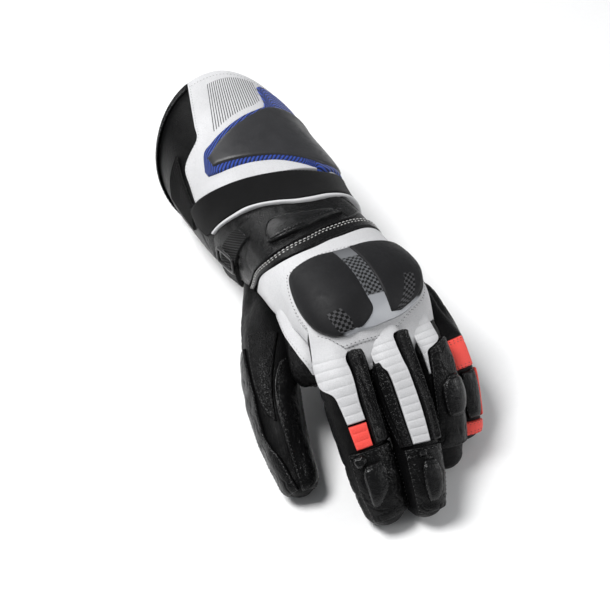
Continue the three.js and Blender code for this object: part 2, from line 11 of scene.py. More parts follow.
import bmesh
import bpy
import numpy as np
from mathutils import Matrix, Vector


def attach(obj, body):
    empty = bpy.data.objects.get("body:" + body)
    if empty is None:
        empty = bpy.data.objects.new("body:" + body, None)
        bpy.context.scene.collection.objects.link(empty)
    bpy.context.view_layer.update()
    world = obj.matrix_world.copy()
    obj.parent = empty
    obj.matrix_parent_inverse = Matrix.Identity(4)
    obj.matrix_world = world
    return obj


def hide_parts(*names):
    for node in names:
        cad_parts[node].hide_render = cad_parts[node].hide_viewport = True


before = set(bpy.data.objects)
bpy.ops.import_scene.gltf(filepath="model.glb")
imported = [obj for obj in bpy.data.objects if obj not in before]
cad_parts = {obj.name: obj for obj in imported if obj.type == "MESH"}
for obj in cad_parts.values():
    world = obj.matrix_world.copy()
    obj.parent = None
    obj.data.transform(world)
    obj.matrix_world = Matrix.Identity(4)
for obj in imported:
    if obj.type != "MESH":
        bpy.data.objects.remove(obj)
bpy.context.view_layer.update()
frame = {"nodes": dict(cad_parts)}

bl_info = {
    "name": "Race Glove",
    "version": (1, 0, 0),
    "blender": (4, 5, 0),
    "location": "View3D > Sidebar > Glove",
    "description": "Builds a long leather motorcycle glove with a hard knuckle guard",
    "category": "Object",
}

# Sizes in mm, or in stations and degrees on a tube

MM = 0.001
ORIGIN = np.array([-16.4, 56.7, 0.0])
RIM_START = 150.0
RIM_LENGTH = 202.0
RIM_THUMB_SIDE = 0.008
RIM_LITTLE_SIDE = 0.024
RIM_UNDERSIDE = 24.0
TIP_ROUNDING = {"hand": 0.2}
LAYER = {1: 1.5, 2: 2.9, 3: 4.6}
SUNK = -0.3
ROOT_DEPTH = 3.6
ROOT_SUNK = 3.8
ROOT_RISE = (1.4, 2.3)
STRIPE_COUNT = 22
CARBON_PITCH = 1.6
TWILL_PITCH = 2.4
THREAD_RISE = 0.1
INSIDE = 9.0
MERGED = 1e-6
STRONG_STITCH = (3.3, 2.5)
SLIDER_PLACE = (4.03, -91)
SLIDER_HALF = (0.28, 5.2)
SLIDER_BAR = (1.25, 0.9)

# The floor and the camera in metres and degrees

FLOOR_GAP = 0.0002
CAMERA_TARGET = (0.0164, -0.0167, 0.045)
CAMERA_ANGLES = (-28, 45)
CAMERA_DISTANCE = 0.75
CAMERA_SHIFT = (-0.059, -0.0164)

# The finishes by name, and the material of each

FINISH = {}
# seam sets the painted shade along the seams; worn sets the lighter line beside them, partly wear and partly
# painted highlight
WHITE_COAT = {"cell": 1300.0, "depth": 0.35, "roughness": 0.42, "seam": 0.35, "worn": 1.0}


def sections(*rows):
    """Rows of x, y, z, half width, height above and below the centre, roll and squareness."""
    return np.array([row + (0, 2.4) if len(row) == 6 else row for row in rows], float)


TUBES = {
    "hand": sections(
        (-4, 205, 46, 41, 41, 50, 0, 2.2),
        (-4, 174, 45, 42, 40, 50, 0, 2.2),
        (-4, 144, 45, 41, 38, 48, 0, 2.2),
        (-3, 116, 46, 41, 34, 42, 0, 2.2),
        (-4, 88, 50, 37, 30, 33, -2, 2.3),
        (-4, 60, 56, 35.5, 26, 29, -4, 2.4),
        (-5, 32, 61, 35, 23, 26, -8, 2.5),
        (-5, 5, 65, 34.5, 21, 22, -12, 2.5),
        (-6, -20, 52, 31, 10, 13, -14, 2.4),
    ),
    "web": sections(
        (-18, 46, 58, 14, 12, 12),
        (-30, 22, 54, 12, 13, 13),
        (-39, 0, 47, 10, 12, 12),
    ),
    "index": sections(
        (-24, 20, 73, 11, 11.5, 13),
        (-28, 0, 73, 11.8, 12, 13),
        (-32.5, -21, 59, 12.2, 12, 12.5),
        (-34.5, -42, 40.5, 12.2, 11.5, 12),
        (-35, -60, 23, 11.8, 11, 11.5),
        (-34, -69, 10.4, 10.8, 10.5, 11),
    ),
    "middle": sections(
        (-4, 20, 73, 11, 11.5, 13),
        (-6, -2, 73, 11.8, 12, 13),
        (-7.5, -24, 59, 12, 12, 12.5),
        (-9, -47, 40.5, 11.8, 11.5, 12),
        (-13, -67, 23, 10.8, 11, 11.5),
        (-15, -76, 10.4, 9, 10.2, 11),
    ),
    "ring": sections(
        (14, 22, 66, 10.8, 11.5, 13),
        (14.5, 2, 66, 11.3, 11.5, 12.5),
        (15, -18, 53, 11.4, 11.5, 12),
        (13.5, -36, 37, 11.4, 11.5, 12),
        (11, -48, 21, 11.2, 11, 11.5),
        (9, -53, 10, 10.4, 10.2, 10.5),
    ),
    "little": sections(
        (26, 26, 56, 10, 10.5, 12),
        (29.5, 8, 55, 10.4, 10.5, 12),
        (31.5, -10, 45, 10.2, 10.5, 11),
        (31.5, -25, 31, 10.2, 10.5, 11),
        (29.5, -36, 17, 10, 10, 10.5),
        (28, -42, 9.4, 9.4, 9.6, 10),
    ),
    "thumb": sections(
        (-13, 90, 38, 16, 16, 18),
        (-28, 66, 37, 16.5, 15.5, 17.5),
        (-42, 40, 35, 15.5, 15, 16),
        (-55, 14, 30, 13, 14, 15),
        (-62, -12, 20, 11.2, 12.5, 13.5),
        (-64.5, -36, 10, 8.6, 9.5, 10.5),
    ),
}


def spline(rows, s):
    """All columns at s: with t the part of s past a row, half of 2b + (c - a)t +
    (2a - 5b + 4c - d)t^2 + (3b - a - 3c + d)t^3, where a, b, c and d are the rows round it."""
    s = np.asarray(s, float)
    last = len(rows) - 1
    i = np.clip(np.floor(s).astype(int), 0, last - 1)
    t = (s - i)[..., None]
    ends = np.vstack([2 * rows[0] - rows[1], rows, 2 * rows[-1] - rows[-2]])
    a, b, c, d = ends[i], ends[i + 1], ends[i + 2], ends[i + 3]
    return 0.5 * (2 * b + (c - a) * t + (2 * a - 5 * b + 4 * c - d) * t**2 + (3 * b - a - 3 * c + d) * t**3)


def unit(v):
    """Each vector divided by its length."""
    return v / np.maximum(np.linalg.norm(v, axis=-1, keepdims=True), 1e-9)


def smooth(x, low, high):
    """0 below low, 1 above high, and 3t^2 - 2t^3 between them."""
    t = np.clip((x - low) / (high - low), 0, 1)
    return t * t * (3 - 2 * t)


def place(tube, s, angle, height=0.0):
    """Points in mm at a station, angle and height: the section's centre plus its half width times
    |cos|^(2/n) across and its half height times |sin|^(2/n) up, where n is the squareness. Past the last
    row both shrink by cos of the tip's turn, and the point moves on by sin of it."""
    rows = TUBES[tube]
    s, angle, height = np.broadcast_arrays(*(np.asarray(v, float) for v in (s, angle, height)))
    last = len(rows) - 1
    tip = np.clip(s - last, 0, 1) * (math.pi / 2)
    at = np.minimum(s, last)
    size = spline(rows, at)
    along = unit(spline(rows, at + 0.01)[..., :3] - spline(rows, at - 0.01)[..., :3])
    side = unit(np.array([1.0, 0, 0]) - along * along[..., :1])
    rise = np.cross(along, side)
    roll = np.radians(size[..., 6:7])
    across = side * np.cos(roll) + rise * np.sin(roll)
    up = rise * np.cos(roll) - side * np.sin(roll)
    turn = np.radians(90 - angle)
    power = 2 / size[..., 7]
    c, w = np.cos(turn), np.sin(turn)
    half = size[..., 3] + height
    tall = np.where(w > 0, size[..., 4], size[..., 5]) + height
    points = size[..., :3] + along * (half * TIP_ROUNDING.get(tube, 0.95) * np.sin(tip))[..., None]
    points = points + across * (half * np.sign(c) * np.abs(c) ** power * np.cos(tip))[..., None]
    points = points + up * (tall * np.sign(w) * np.abs(w) ** power * np.cos(tip))[..., None]
    if tube == "hand":
        x, y, z = points[..., 0], points[..., 1], points[..., 2]
        below = smooth(-z, -rows[0, 2], 0)
        cut = np.where(x < 0, RIM_THUMB_SIDE, RIM_LITTLE_SIDE) * x * x * (1 - 0.6 * below)
        rim = RIM_LENGTH - cut - RIM_UNDERSIDE * below
        warped = RIM_START + (y - RIM_START) * (rim - RIM_START) / (rows[0, 1] - RIM_START)
        points[..., 1] = np.where(y > RIM_START, warped, y)
    points[..., 2] = np.maximum(points[..., 2], np.maximum(-height, 0) * (height < SUNK * 2) + 0.02)
    return points


def ripple(points, size, seed):
    """Smooth noise of about -1 to 1: the mean of sines along random directions, size mm apart."""
    rng = np.random.default_rng(seed)
    waves = unit(rng.normal(size=(9, 3))) * (2 * math.pi / size) * rng.uniform(0.6, 1.7, (9, 1))
    return np.sin(points @ waves.T + rng.uniform(0, 6.28, 9)).sum(axis=-1) / 3


def creases(points, size, seed, depth, width=0.16):
    """Thin wandering folds: minus depth times exp(-(noise / width)^2)."""
    return -depth * np.exp(-((ripple(points, size, seed) / width) ** 2))


def run_of(grid, axis):
    """The length in mm from the first point of a grid to each other one along one of its directions."""
    steps = np.linalg.norm(np.diff(grid, axis=axis), axis=-1)
    return np.pad(np.cumsum(steps, axis=axis), [(1, 0), (0, 0)] if axis == 0 else [(0, 0), (1, 0)])


def corners_of(grid):
    """The values at the four corners of every square of a grid, in turn round it."""
    turn = grid[:-1, :-1], grid[:-1, 1:], grid[1:, 1:], grid[1:, :-1]
    return np.stack(turn, axis=2).reshape(-1, 4, *grid.shape[2:])


class Piece:
    """Patches gathered into one mesh. Each is its points, its quads, their texture places, the points'
    distances from the nearest edge, and the quads' finishes."""

    def __init__(self):
        self.patches, self.fields, self.count = [], {}, 0

    def add(self, points, quads, places, finish, edge=None):
        """Keeps one patch, whose quads count from its own first point."""
        points = points.reshape(-1, 3)
        edge = np.full(len(points), INSIDE) if edge is None else edge.reshape(-1)
        self.patches.append((points, quads + self.count, places, edge, np.full(len(quads), finish)))
        self.count += len(points)

    def patch(self, grid, finish=0, wrap=False, edge=None, flip=False):
        """Joins a grid of points (rows, columns, 3) by quads; wrap joins the last column to the first.
        Texture places are the lengths in mm along both directions of the grid."""
        rows, cols = grid.shape[:2]
        number = np.arange(rows * cols).reshape(rows, cols)
        looped = np.concatenate([grid, grid[:, :1]], axis=1) if wrap else grid
        if wrap:
            number = np.hstack([number, number[:, :1]])
        u, v = run_of(looped, 1), run_of(looped, 0)
        quads, places = corners_of(number), corners_of(np.stack([u - u[:, -1:] / 2, v], axis=-1))
        if flip:
            quads, places = quads[:, ::-1], places[:, ::-1]
        self.add(grid, quads, places, finish, edge)

    def join(self, other):
        """Takes over all patches of another piece."""
        for points, quads, *rest in other.patches:
            self.patches.append((points, quads + self.count, *rest))
        self.count += other.count

    def copies(self, rings, finish):
        """Many small closed tubes at once: rings is (copies, rings, sides, 3)."""
        n, length, sides = rings.shape[:3]
        number = np.arange(n * length * sides).reshape(n, length, sides)
        after = np.roll(number, -1, axis=2)
        quads = np.stack([number[:, :-1], after[:, :-1], after[:, 1:], number[:, 1:]], axis=-1).reshape(-1, 4)
        self.add(rings, quads, np.zeros((len(quads), 4, 2)), finish)

    def build(self, name, finishes, nodes, merge=False):
        """Puts the patches into an object that rides on the glove and stands for its CAD nodes. Its slot
        is that of its first finish."""
        points, corners, places, edge, finish_numbers = map(np.concatenate, zip(*self.patches))
        points = (points - ORIGIN) * MM
        mesh = bpy.data.meshes.new(name)
        mesh.vertices.add(len(points))
        mesh.vertices.foreach_set("co", points.astype(np.float32).ravel())
        mesh.loops.add(corners.size)
        mesh.loops.foreach_set("vertex_index", corners.astype(np.int32).ravel())
        mesh.polygons.add(len(corners))
        mesh.polygons.foreach_set("loop_start", np.arange(0, corners.size, 4, dtype=np.int32))
        mesh.polygons.foreach_set("material_index", finish_numbers.astype(np.int32))
        mesh.polygons.foreach_set("use_smooth", np.ones(len(corners), bool))
        mesh.update(calc_edges=True)
        layer = mesh.uv_layers.new(name="lengths")
        layer.uv.foreach_set("vector", places.astype(np.float32).ravel())
        for label, values in {"edge": edge, **self.fields}.items():
            whole = np.zeros(len(points), np.float32)
            whole[: values.size] = values.ravel()
            mesh.attributes.new(label, "FLOAT", "POINT").data.foreach_set("value", whole)
        for finish in finishes:
            mesh.materials.append(FINISH[finish])
        if merge:
            work = bmesh.new()
            work.from_mesh(mesh)
            bmesh.ops.remove_doubles(work, verts=work.verts, dist=MERGED)
            work.to_mesh(mesh)
            work.free()
        obj = add_object("glove_" + name, mesh)
        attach(obj, "root")
        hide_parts(*nodes)
        return obj


def sew(piece, path, normal, pitch, length, radius):
    """Stitches along a path: each is a five-ring tube whose radius goes as 1 - 0.5x^2 and whose ends dip
    into the leather by 0.5x^2 mm, with x from -1 to 1 along it."""
    steps = np.linalg.norm(np.diff(path, axis=0), axis=-1)
    along = np.concatenate([[0], np.cumsum(steps)])
    count = int(along[-1] / pitch)
    if count < 2:
        return
    at = (np.arange(count) + 0.5) * along[-1] / count

    def pick(rows, where):
        return np.stack([np.interp(where, along, rows[:, k]) for k in range(3)], axis=-1)[:, None, None]

    centre, up = pick(path, at), unit(pick(normal, at))
    ahead = unit(pick(path, at + 0.4) - pick(path, at - 0.4))
    x = np.array([-1, -0.6, 0, 0.6, 1])[:, None, None]
    turn = (np.arange(6) * (math.pi / 3))[:, None]
    ring = np.cos(turn) * unit(np.cross(ahead, up)) + np.sin(turn) * up
    middle = centre + ahead * x * (length / 2) + up * (THREAD_RISE - 0.5 * x * x)
    piece.copies(middle + ring * radius * (1 - 0.5 * x * x), 1)


def spaced(count, even=False):
    """Steps from 0 to 1, closer at both ends: half of 1 - cos of an even turn. Even steps if asked."""
    t = np.linspace(0, 1, count)
    return t if even else 0.5 - 0.5 * np.cos(math.pi * t)


def by_station(rows, even=False):
    """An outline of s, left and right angle. p goes across and q along. If even, s grows evenly with q,
    so that ribs keep their width."""
    table = np.array(rows, float)
    fine = spline(table, np.linspace(0, len(table) - 1, 200)).T

    def where(p, q):
        if even:
            s = table[0, 0] + (table[-1, 0] - table[0, 0]) * q
            left, right = np.interp(s, fine[0], fine[1]), np.interp(s, fine[0], fine[2])
        else:
            s, left, right = np.moveaxis(spline(table, q * (len(table) - 1)), -1, 0)
        return s, left + (right - left) * p

    return where


def by_angle(rows):
    """An outline of angle, far and near station. p goes across and q along."""
    table = np.array(rows, float)

    def where(p, q):
        angle, far, near = np.moveaxis(spline(table, p * (len(table) - 1)), -1, 0)
        return far + (near - far) * q, angle

    return where


class Flap(Piece):
    """A flap of leather on a tube. Its height is low + (top - low) sqrt(1 - (1 - d / edge)^2) for a
    distance d from its nearest side, plus relief(p, q, points) where d is past that edge, plus
    base(q, s, angle) everywhere. Its sides reach down to SUNK plus foot(q, s, angle)."""

    def __init__(self, tube, where, top, size, edge=0.9, relief=None, base=None, foot=None, even=False):
        super().__init__()
        p, q = np.meshgrid(spaced(size[0]), spaced(size[1], even))
        s, angle = where(p, q)
        skin = place(tube, s, angle, top)
        left, far = run_of(skin, 1), run_of(skin, 0)
        self.width, self.length = left[:, -1:], far[-1:]
        d = np.minimum(np.minimum(left, self.width - left), np.minimum(far, self.length - far))
        rounded = np.sqrt(1 - (1 - np.clip(d / edge, 0, 1)) ** 2)
        low = SUNK + foot(q, s, angle) if foot else SUNK
        height = low + (top - low) * rounded
        if relief:
            height = height + relief(p, q, skin) * smooth(d, 0, 2 * edge)
        if base:
            height = height + base(q, s, angle)
        self.grid = place(tube, s, angle, height)
        self.p, self.q = p[0], q[:, 0]
        self.s, self.angle = s, angle
        self.fields = {"across": p, "along": q}
        middle = (size[1] // 2, size[0] // 2)
        out = place(tube, s[middle], angle[middle], 5) - place(tube, s[middle], angle[middle], 0)
        normal = unit(np.cross(np.gradient(self.grid, axis=1), np.gradient(self.grid, axis=0)))
        lifted = (self.grid - place(tube, s, angle, -8)).mean(axis=(0, 1))
        self.normal = normal if np.dot(normal[middle], lifted) > 0 else -normal
        self.patch(self.grid, edge=d, flip=bool(np.dot(normal[middle], out) < 0))

    def at(self, field, p, q):
        """The grid's points or normals at p and q, in a straight line between its own."""
        x = np.interp(p, self.p, np.arange(len(self.p)))
        y = np.interp(q, self.q, np.arange(len(self.q)))
        i = np.minimum(x.astype(int), len(self.p) - 2)
        j = np.minimum(y.astype(int), len(self.q) - 2)
        fx, fy = (x - i)[:, None], (y - j)[:, None]
        near = field[j, i] * (1 - fx) + field[j, i + 1] * fx
        return near * (1 - fy) + (field[j + 1, i] * (1 - fx) + field[j + 1, i + 1] * fx) * fy

    def seam(self, sides, inset, pitch=2.1, length=1.3, radius=0.17):
        """Stitches at a distance inside the named sides: left, right, far and near. Each line lies where p or
    q is the distance divided by the flap's width or length there."""
        t = np.linspace(0, 1, 160)

        def share(length, most):
            return np.minimum(inset / np.maximum(length, 0.1), most)

        for side in sides.split():
            if side in ("left", "right"):
                ends = np.interp(0.5, self.p, share(self.length[0], 0.4))
                q = ends + (1 - 2 * ends) * t
                p = share(np.interp(q, self.q, self.width[:, 0]), 0.45)
            else:
                ends = share(self.width[len(self.q) // 2, 0], 0.4)
                p = ends + (1 - 2 * ends) * t
                q = share(np.interp(p, self.p, self.length[0]), 0.45)
            p = 1 - p if side == "right" else p
            q = 1 - q if side == "near" else q
            path, normal = self.at(self.grid, p, q), unit(self.at(self.normal, p, q))
            sew(self, path, normal, pitch, length, radius)


# Materials


def node(tree, kind, sockets=None, **settings):
    """A shader node with its settings and sockets. A socket's value is a number, a colour, or the output
    that it is linked from."""
    made = tree.nodes.new("ShaderNode" + kind)
    for name, value in settings.items():
        setattr(made, name, value)
    for name, value in (sockets or {}).items():
        if isinstance(value, bpy.types.NodeSocket):
            tree.links.new(value, made.inputs[name])
        else:
            made.inputs[name].default_value = value
    return made


def maths(operation, *values):
    """One sum on one or two values, at least one of them an output."""
    tree = next(value.id_data for value in values if isinstance(value, bpy.types.NodeSocket))
    return node(tree, "Math", dict(enumerate(values)), operation=operation).outputs[0]


def plus(a, b):
    return maths("ADD", a, b)


def minus(a, b):
    return maths("SUBTRACT", a, b)


def times(a, b):
    return maths("MULTIPLY", a, b)


def ramp(value, low, high, to_low=0.0, to_high=1.0, kind="LINEAR"):
    """A value carried from low..high to to_low..to_high and held there."""
    sockets = {"Value": value, "From Min": low, "From Max": high, "To Min": to_low, "To Max": to_high}
    return node(value.id_data, "MapRange", sockets, clamp=True, interpolation_type=kind).outputs["Result"]


def mix(factor, first, second):
    """The first colour where the factor is 0 and the second where it is 1."""
    sockets = {"Factor": factor, 6: first, 7: second}
    return node(factor.id_data, "Mix", sockets, data_type="RGBA").outputs[2]


def noise(where, scale, detail, roughness=0.5):
    """Soft noise from 0 to 1."""
    sockets = {"Vector": where, "Scale": scale, "Detail": detail, "Roughness": roughness}
    return node(where.id_data, "TexNoise", sockets).outputs["Fac"]


def shade(colour, factor):
    """A colour made darker or lighter, and held at 1."""
    return tuple(min(1.0, c * factor) for c in colour[:3]) + (1.0,)


def new_group(name, inputs, outputs):
    """An empty node group. Its inputs are numbers with their defaults, or vectors where that is None, and
    its outputs are numbers."""
    tree = bpy.data.node_groups.new(name, "ShaderNodeTree")
    for label, default in inputs.items():
        kind = "NodeSocketVector" if default is None else "NodeSocketFloat"
        socket = tree.interface.new_socket(name=label, in_out="INPUT", socket_type=kind)
        if default is not None:
            socket.default_value = default
    for label in outputs:
        tree.interface.new_socket(name=label, in_out="OUTPUT", socket_type="NodeSocketFloat")
    return tree, tree.nodes.new("NodeGroupInput").outputs, tree.nodes.new("NodeGroupOutput").inputs


def grouped(tree, group, **sockets):
    """The outputs of a node group placed in a material with its own values."""
    return node(tree, "Group", sockets, node_tree=bpy.data.node_groups[group]).outputs


def grain_group():
    """Leather grain: small cells parted by fine grooves, under a softer unevenness."""
    inputs = {"Place": None, "Cell": 900.0, "Depth": 1.0}
    tree, given, result = new_group("leather grain", inputs, ("Height", "Groove"))
    where = given["Place"]
    bend = node(tree, "TexNoise", {"Vector": where, "Scale": 260.0, "Detail": 2.0}).outputs["Color"]
    bent = node(tree, "VectorMath", {0: bend, "Scale": 0.0014}, operation="SCALE").outputs[0]
    moved = node(tree, "VectorMath", {0: where, 1: bent}, operation="ADD").outputs[0]
    cells = node(tree, "TexVoronoi", {"Vector": moved, "Scale": given["Cell"]}, feature="DISTANCE_TO_EDGE")
    groove = ramp(cells.outputs["Distance"], 0.0, 0.22, 1.0, 0.0, "SMOOTHSTEP")
    height = minus(times(noise(where, 420.0, 5.0, 0.6), 0.8), times(groove, 0.5))
    tree.links.new(times(height, given["Depth"]), result["Height"])
    tree.links.new(groove, result["Groove"])


def blotch_group():
    """Slow unevenness of colour and gloss, with a little fine dust in it."""
    tree, given, result = new_group("blotches", {"Place": None, "Size": 45.0}, ("Slow", "Dust"))
    where = given["Place"]
    tree.links.new(ramp(noise(where, given["Size"], 3.0), 0.3, 0.7), result["Slow"])
    tree.links.new(ramp(noise(where, 900.0, 2.0), 0.58, 0.75), result["Dust"])


def weave_group():
    """Threads over and under: two sets of waves along the lengths of the piece, each thread on top in
    every other square. Pitch is in mm."""
    inputs = {"Lengths": None, "Pitch": 1.0, "Slant": 0.0}
    tree, given, result = new_group("weave", inputs, ("Height", "Over"))
    parts = node(tree, "SeparateXYZ", {0: given["Lengths"]}).outputs
    x, y = (maths("DIVIDE", parts[axis], given["Pitch"]) for axis in "XY")
    leant = plus(x, times(y, given["Slant"]))
    warp, weft = (maths("ABSOLUTE", maths("SINE", times(line, math.pi))) for line in (leant, y))
    squares = plus(maths("FLOOR", leant), maths("FLOOR", y))
    over = maths("ABSOLUTE", maths("MODULO", squares, 2.0))
    tree.links.new(plus(times(warp, over), times(weft, minus(1.0, over))), result["Height"])
    tree.links.new(over, result["Over"])


def start_material(name, roughness, sheen=0.0, specular=0.5, coat=0.0):
    """A new material: its tree, its Principled BSDF with constant values, and its texture places."""
    made = bpy.data.materials.new(name)
    made.use_nodes = True
    tree = made.node_tree
    shader = tree.nodes["Principled BSDF"]
    constants = {
        "Roughness": roughness, "Specular IOR Level": specular, "Coat Weight": coat,
        "Coat Roughness": 0.12, "Sheen Weight": sheen, "Sheen Roughness": 0.45,
    }
    for label, value in constants.items():
        shader.inputs[label].default_value = value
    return made, tree, shader, node(tree, "TexCoord").outputs["Object"]


def covered(shader, colour, height, distance, strength=1.0):
    """Gives a shader its base colour, and a height through a Bump node that feeds its Normal."""
    tree = shader.id_data
    bump = node(tree, "Bump", {"Height": height, "Distance": distance, "Strength": strength})
    tree.links.new(bump.outputs["Normal"], shader.inputs["Normal"])
    tree.links.new(colour, shader.inputs["Base Color"])


def painted_over(tree, mask, colour):
    """Lays a colour over the base colour where the mask is 1."""
    base = tree.nodes["Principled BSDF"].inputs["Base Color"]
    tree.links.new(mix(mask, base.links[0].from_socket, colour), base)


def field(tree, name):
    """A value that the piece carries at each point."""
    return node(tree, "Attribute", attribute_name=name, attribute_type="GEOMETRY").outputs["Fac"]


def lengths_of(tree):
    """The lengths in mm along both directions of the piece."""
    return node(tree, "UVMap", uv_map="lengths").outputs["UV"]


def woven(tree, pitch, slant=0.0):
    """The weave group on the lengths of the piece."""
    return grouped(tree, "weave", Lengths=lengths_of(tree), Pitch=pitch, Slant=slant)


def leather(name, colour, cell, depth, roughness, specular=0.3, seam=0.55, worn=1.25):
    """Coated leather: grain with rougher, darker grooves, blotches, painted shade in a darker line where a
    panel dips into its seam, and beside it a lighter line that is partly a worn edge and partly a painted
    highlight."""
    made, tree, shader, where = start_material(name, roughness, 0.0, specular)
    grain = grouped(tree, "leather grain", Place=where, Cell=cell, Depth=depth)
    slow = grouped(tree, "blotches", Place=where)["Slow"]
    edge = field(tree, "edge")
    # dip masks the painted shade along the seam; rim masks the lighter line beside it, partly wear and partly
    # painted highlight
    dip = ramp(edge, 0.0, 0.55, 1.0, 0.0, "SMOOTHSTEP")
    rim = times(ramp(edge, 0.45, 0.8), ramp(edge, 0.9, 1.6, 1.0, 0.0))
    tone = mix(slow, shade(colour, 0.88), shade(colour, 1.06))
    tone = mix(times(grain["Groove"], 0.35), tone, shade(colour, 0.6))
    # painted shade: seam times the colour where the panel dips into its seam
    tone = mix(times(dip, 0.85), tone, shade(colour, seam))
    # partly wear, partly painted highlight: worn times the colour in a line beside the seam
    tone = mix(times(rim, 0.35), tone, shade(colour, worn))
    gloss = plus(plus(times(slow, 0.12), roughness - 0.06), times(grain["Groove"], 0.1))
    tree.links.new(gloss, shader.inputs["Roughness"])
    covered(shader, tone, grain["Height"], 0.00022)
    return made


def striped(name, colour):
    """White leather with dark lines printed on its stripe field."""
    made = leather(name, colour, **WHITE_COAT)
    tree = made.node_tree
    turn = maths("FRACT", times(field(tree, "stripe"), STRIPE_COUNT))
    line = ramp(maths("ABSOLUTE", minus(turn, 0.5)), 0.14, 0.22, 1.0, 0.0)
    painted_over(tree, times(line, ramp(field(tree, "inside"), 0.0, 0.012)), (0.05, 0.05, 0.055, 1))
    return made


def moulded(name, colour, roughness, coat, specular=0.3):
    """Moulded plastic: a faint orange-peel surface, blotches in its gloss and fine scuffs."""
    made, tree, shader, where = start_material(name, roughness, 0.0, specular, coat)
    blotch = grouped(tree, "blotches", Place=where, Size=70.0)
    lit = mix(blotch["Slow"], shade(colour, 0.9), shade(colour, 1.15))
    dusty = mix(times(blotch["Dust"], 0.2), lit, shade(colour, 2.2))
    scuff = noise(where, 160.0, 6.0, 0.75)
    worn = ramp(scuff, 0.45, 0.7, roughness - 0.05, roughness + 0.15)
    tree.links.new(worn, shader.inputs["Roughness"])
    covered(shader, dusty, noise(where, 700.0, 2.0), 0.00004)
    return made


def carbon_window(name, colour):
    """A glossy lobe whose near end shows a checked carbon weave in a slanting window."""
    made = moulded(name, colour, 0.55, 0.0, 0.14)
    tree = made.node_tree
    p, q = field(tree, "across"), field(tree, "along")
    lean = minus(1.0, q)
    left = minus(p, plus(0.27, times(lean, 0.3)))
    right = minus(minus(0.76, times(lean, 0.4)), p)
    inside = maths("MINIMUM", maths("MINIMUM", left, right), minus(q, 0.62))
    check = mix(woven(tree, CARBON_PITCH)["Over"], (0.002, 0.002, 0.002, 1), (0.055, 0.055, 0.058, 1))
    painted_over(tree, ramp(inside, 0.0, 0.01), check)
    return made


def divider(name, colour):
    """The guard's frame: dark beside the lobes, as painted shade of the crevice there, and light between
    them, more so towards the fingers, with carbon weave across its middle."""
    # painted shade: this near-black base stands for the shade in the crevice beside the lobes
    dark = (0.006, 0.006, 0.006, 1)
    made = moulded(name, dark, 0.35, 0.1)
    tree = made.node_tree
    along, light = field(tree, "along"), field(tree, "light")
    painted_over(tree, light, mix(ramp(along, 0.1, 0.75), shade(colour, 0.2), colour))
    middle = minus(0.16, maths("ABSOLUTE", minus(along, 0.44)))
    check = mix(woven(tree, CARBON_PITCH)["Over"], dark, shade(colour, 0.3))
    painted_over(tree, times(light, ramp(middle, 0.0, 0.01)), check)
    return made


def cloth(name, colour, pitch, slant=0.0, depth=0.0003, roughness=0.75, lift=1.8, sheen=0.25):
    """Woven or ribbed cloth: threads painted lighter on top as a highlight and darker between as shade, with
    a soft sheen.
    """
    made, tree, shader, where = start_material(name, roughness, sheen, 0.1)
    height = woven(tree, pitch, slant)["Height"]
    dust = grouped(tree, "blotches", Place=where, Size=120.0)["Dust"]
    # painted light: lift times the colour on the thread tops as a highlight, 0.35 times it between as shade
    lit = mix(height, shade(colour, 0.35), shade(colour, lift))
    covered(shader, mix(times(dust, 0.3), lit, shade(colour, lift * 1.3)), height, depth)
    return made


def twill(name, colour):
    """Edge tape: slanting ribs, the tape's colour on top and nearly black between."""
    made, tree, shader, _ = start_material(name, 0.5, 0.1, 0.3)
    parts = node(tree, "SeparateXYZ", {0: lengths_of(tree)}).outputs
    slanted = plus(times(parts["X"], 0.4), parts["Y"])
    rib = ramp(maths("SINE", times(slanted, 2 * math.pi / TWILL_PITCH)), -0.5, 0.5)
    height = plus(rib, times(woven(tree, 0.5, 1.0)["Height"], 0.4))
    covered(shader, mix(rib, shade(colour, 0.12), colour), height, 0.0003)
    return made


def suede(name, colour):
    """Napped cloth: fine fibres, brushed lighter and darker in patches, no gloss."""
    made, tree, shader, where = start_material(name, 0.85, 0.06, 0.1)
    slow = grouped(tree, "blotches", Place=where, Size=60.0)["Slow"]
    fibre = noise(where, 1800.0, 3.0, 0.7)
    lit = mix(slow, shade(colour, 0.8), shade(colour, 1.3))
    covered(shader, mix(ramp(fibre, 0.4, 0.75, 0.0, 0.6), lit, shade(colour, 2.4)), fibre, 0.0003, 0.8)
    return made


def thread(name, colour):
    """Twisted sewing thread: slanting bands along each stitch."""
    made, tree, shader, where = start_material(name, 0.6, 0.3, 0.35)
    sockets = {"Vector": where, "Scale": 900.0, "Distortion": 3.0}
    twist = node(tree, "TexWave", sockets, bands_direction="DIAGONAL").outputs["Fac"]
    covered(shader, mix(twist, shade(colour, 0.65), shade(colour, 1.05)), twist, 0.0001)
    return made


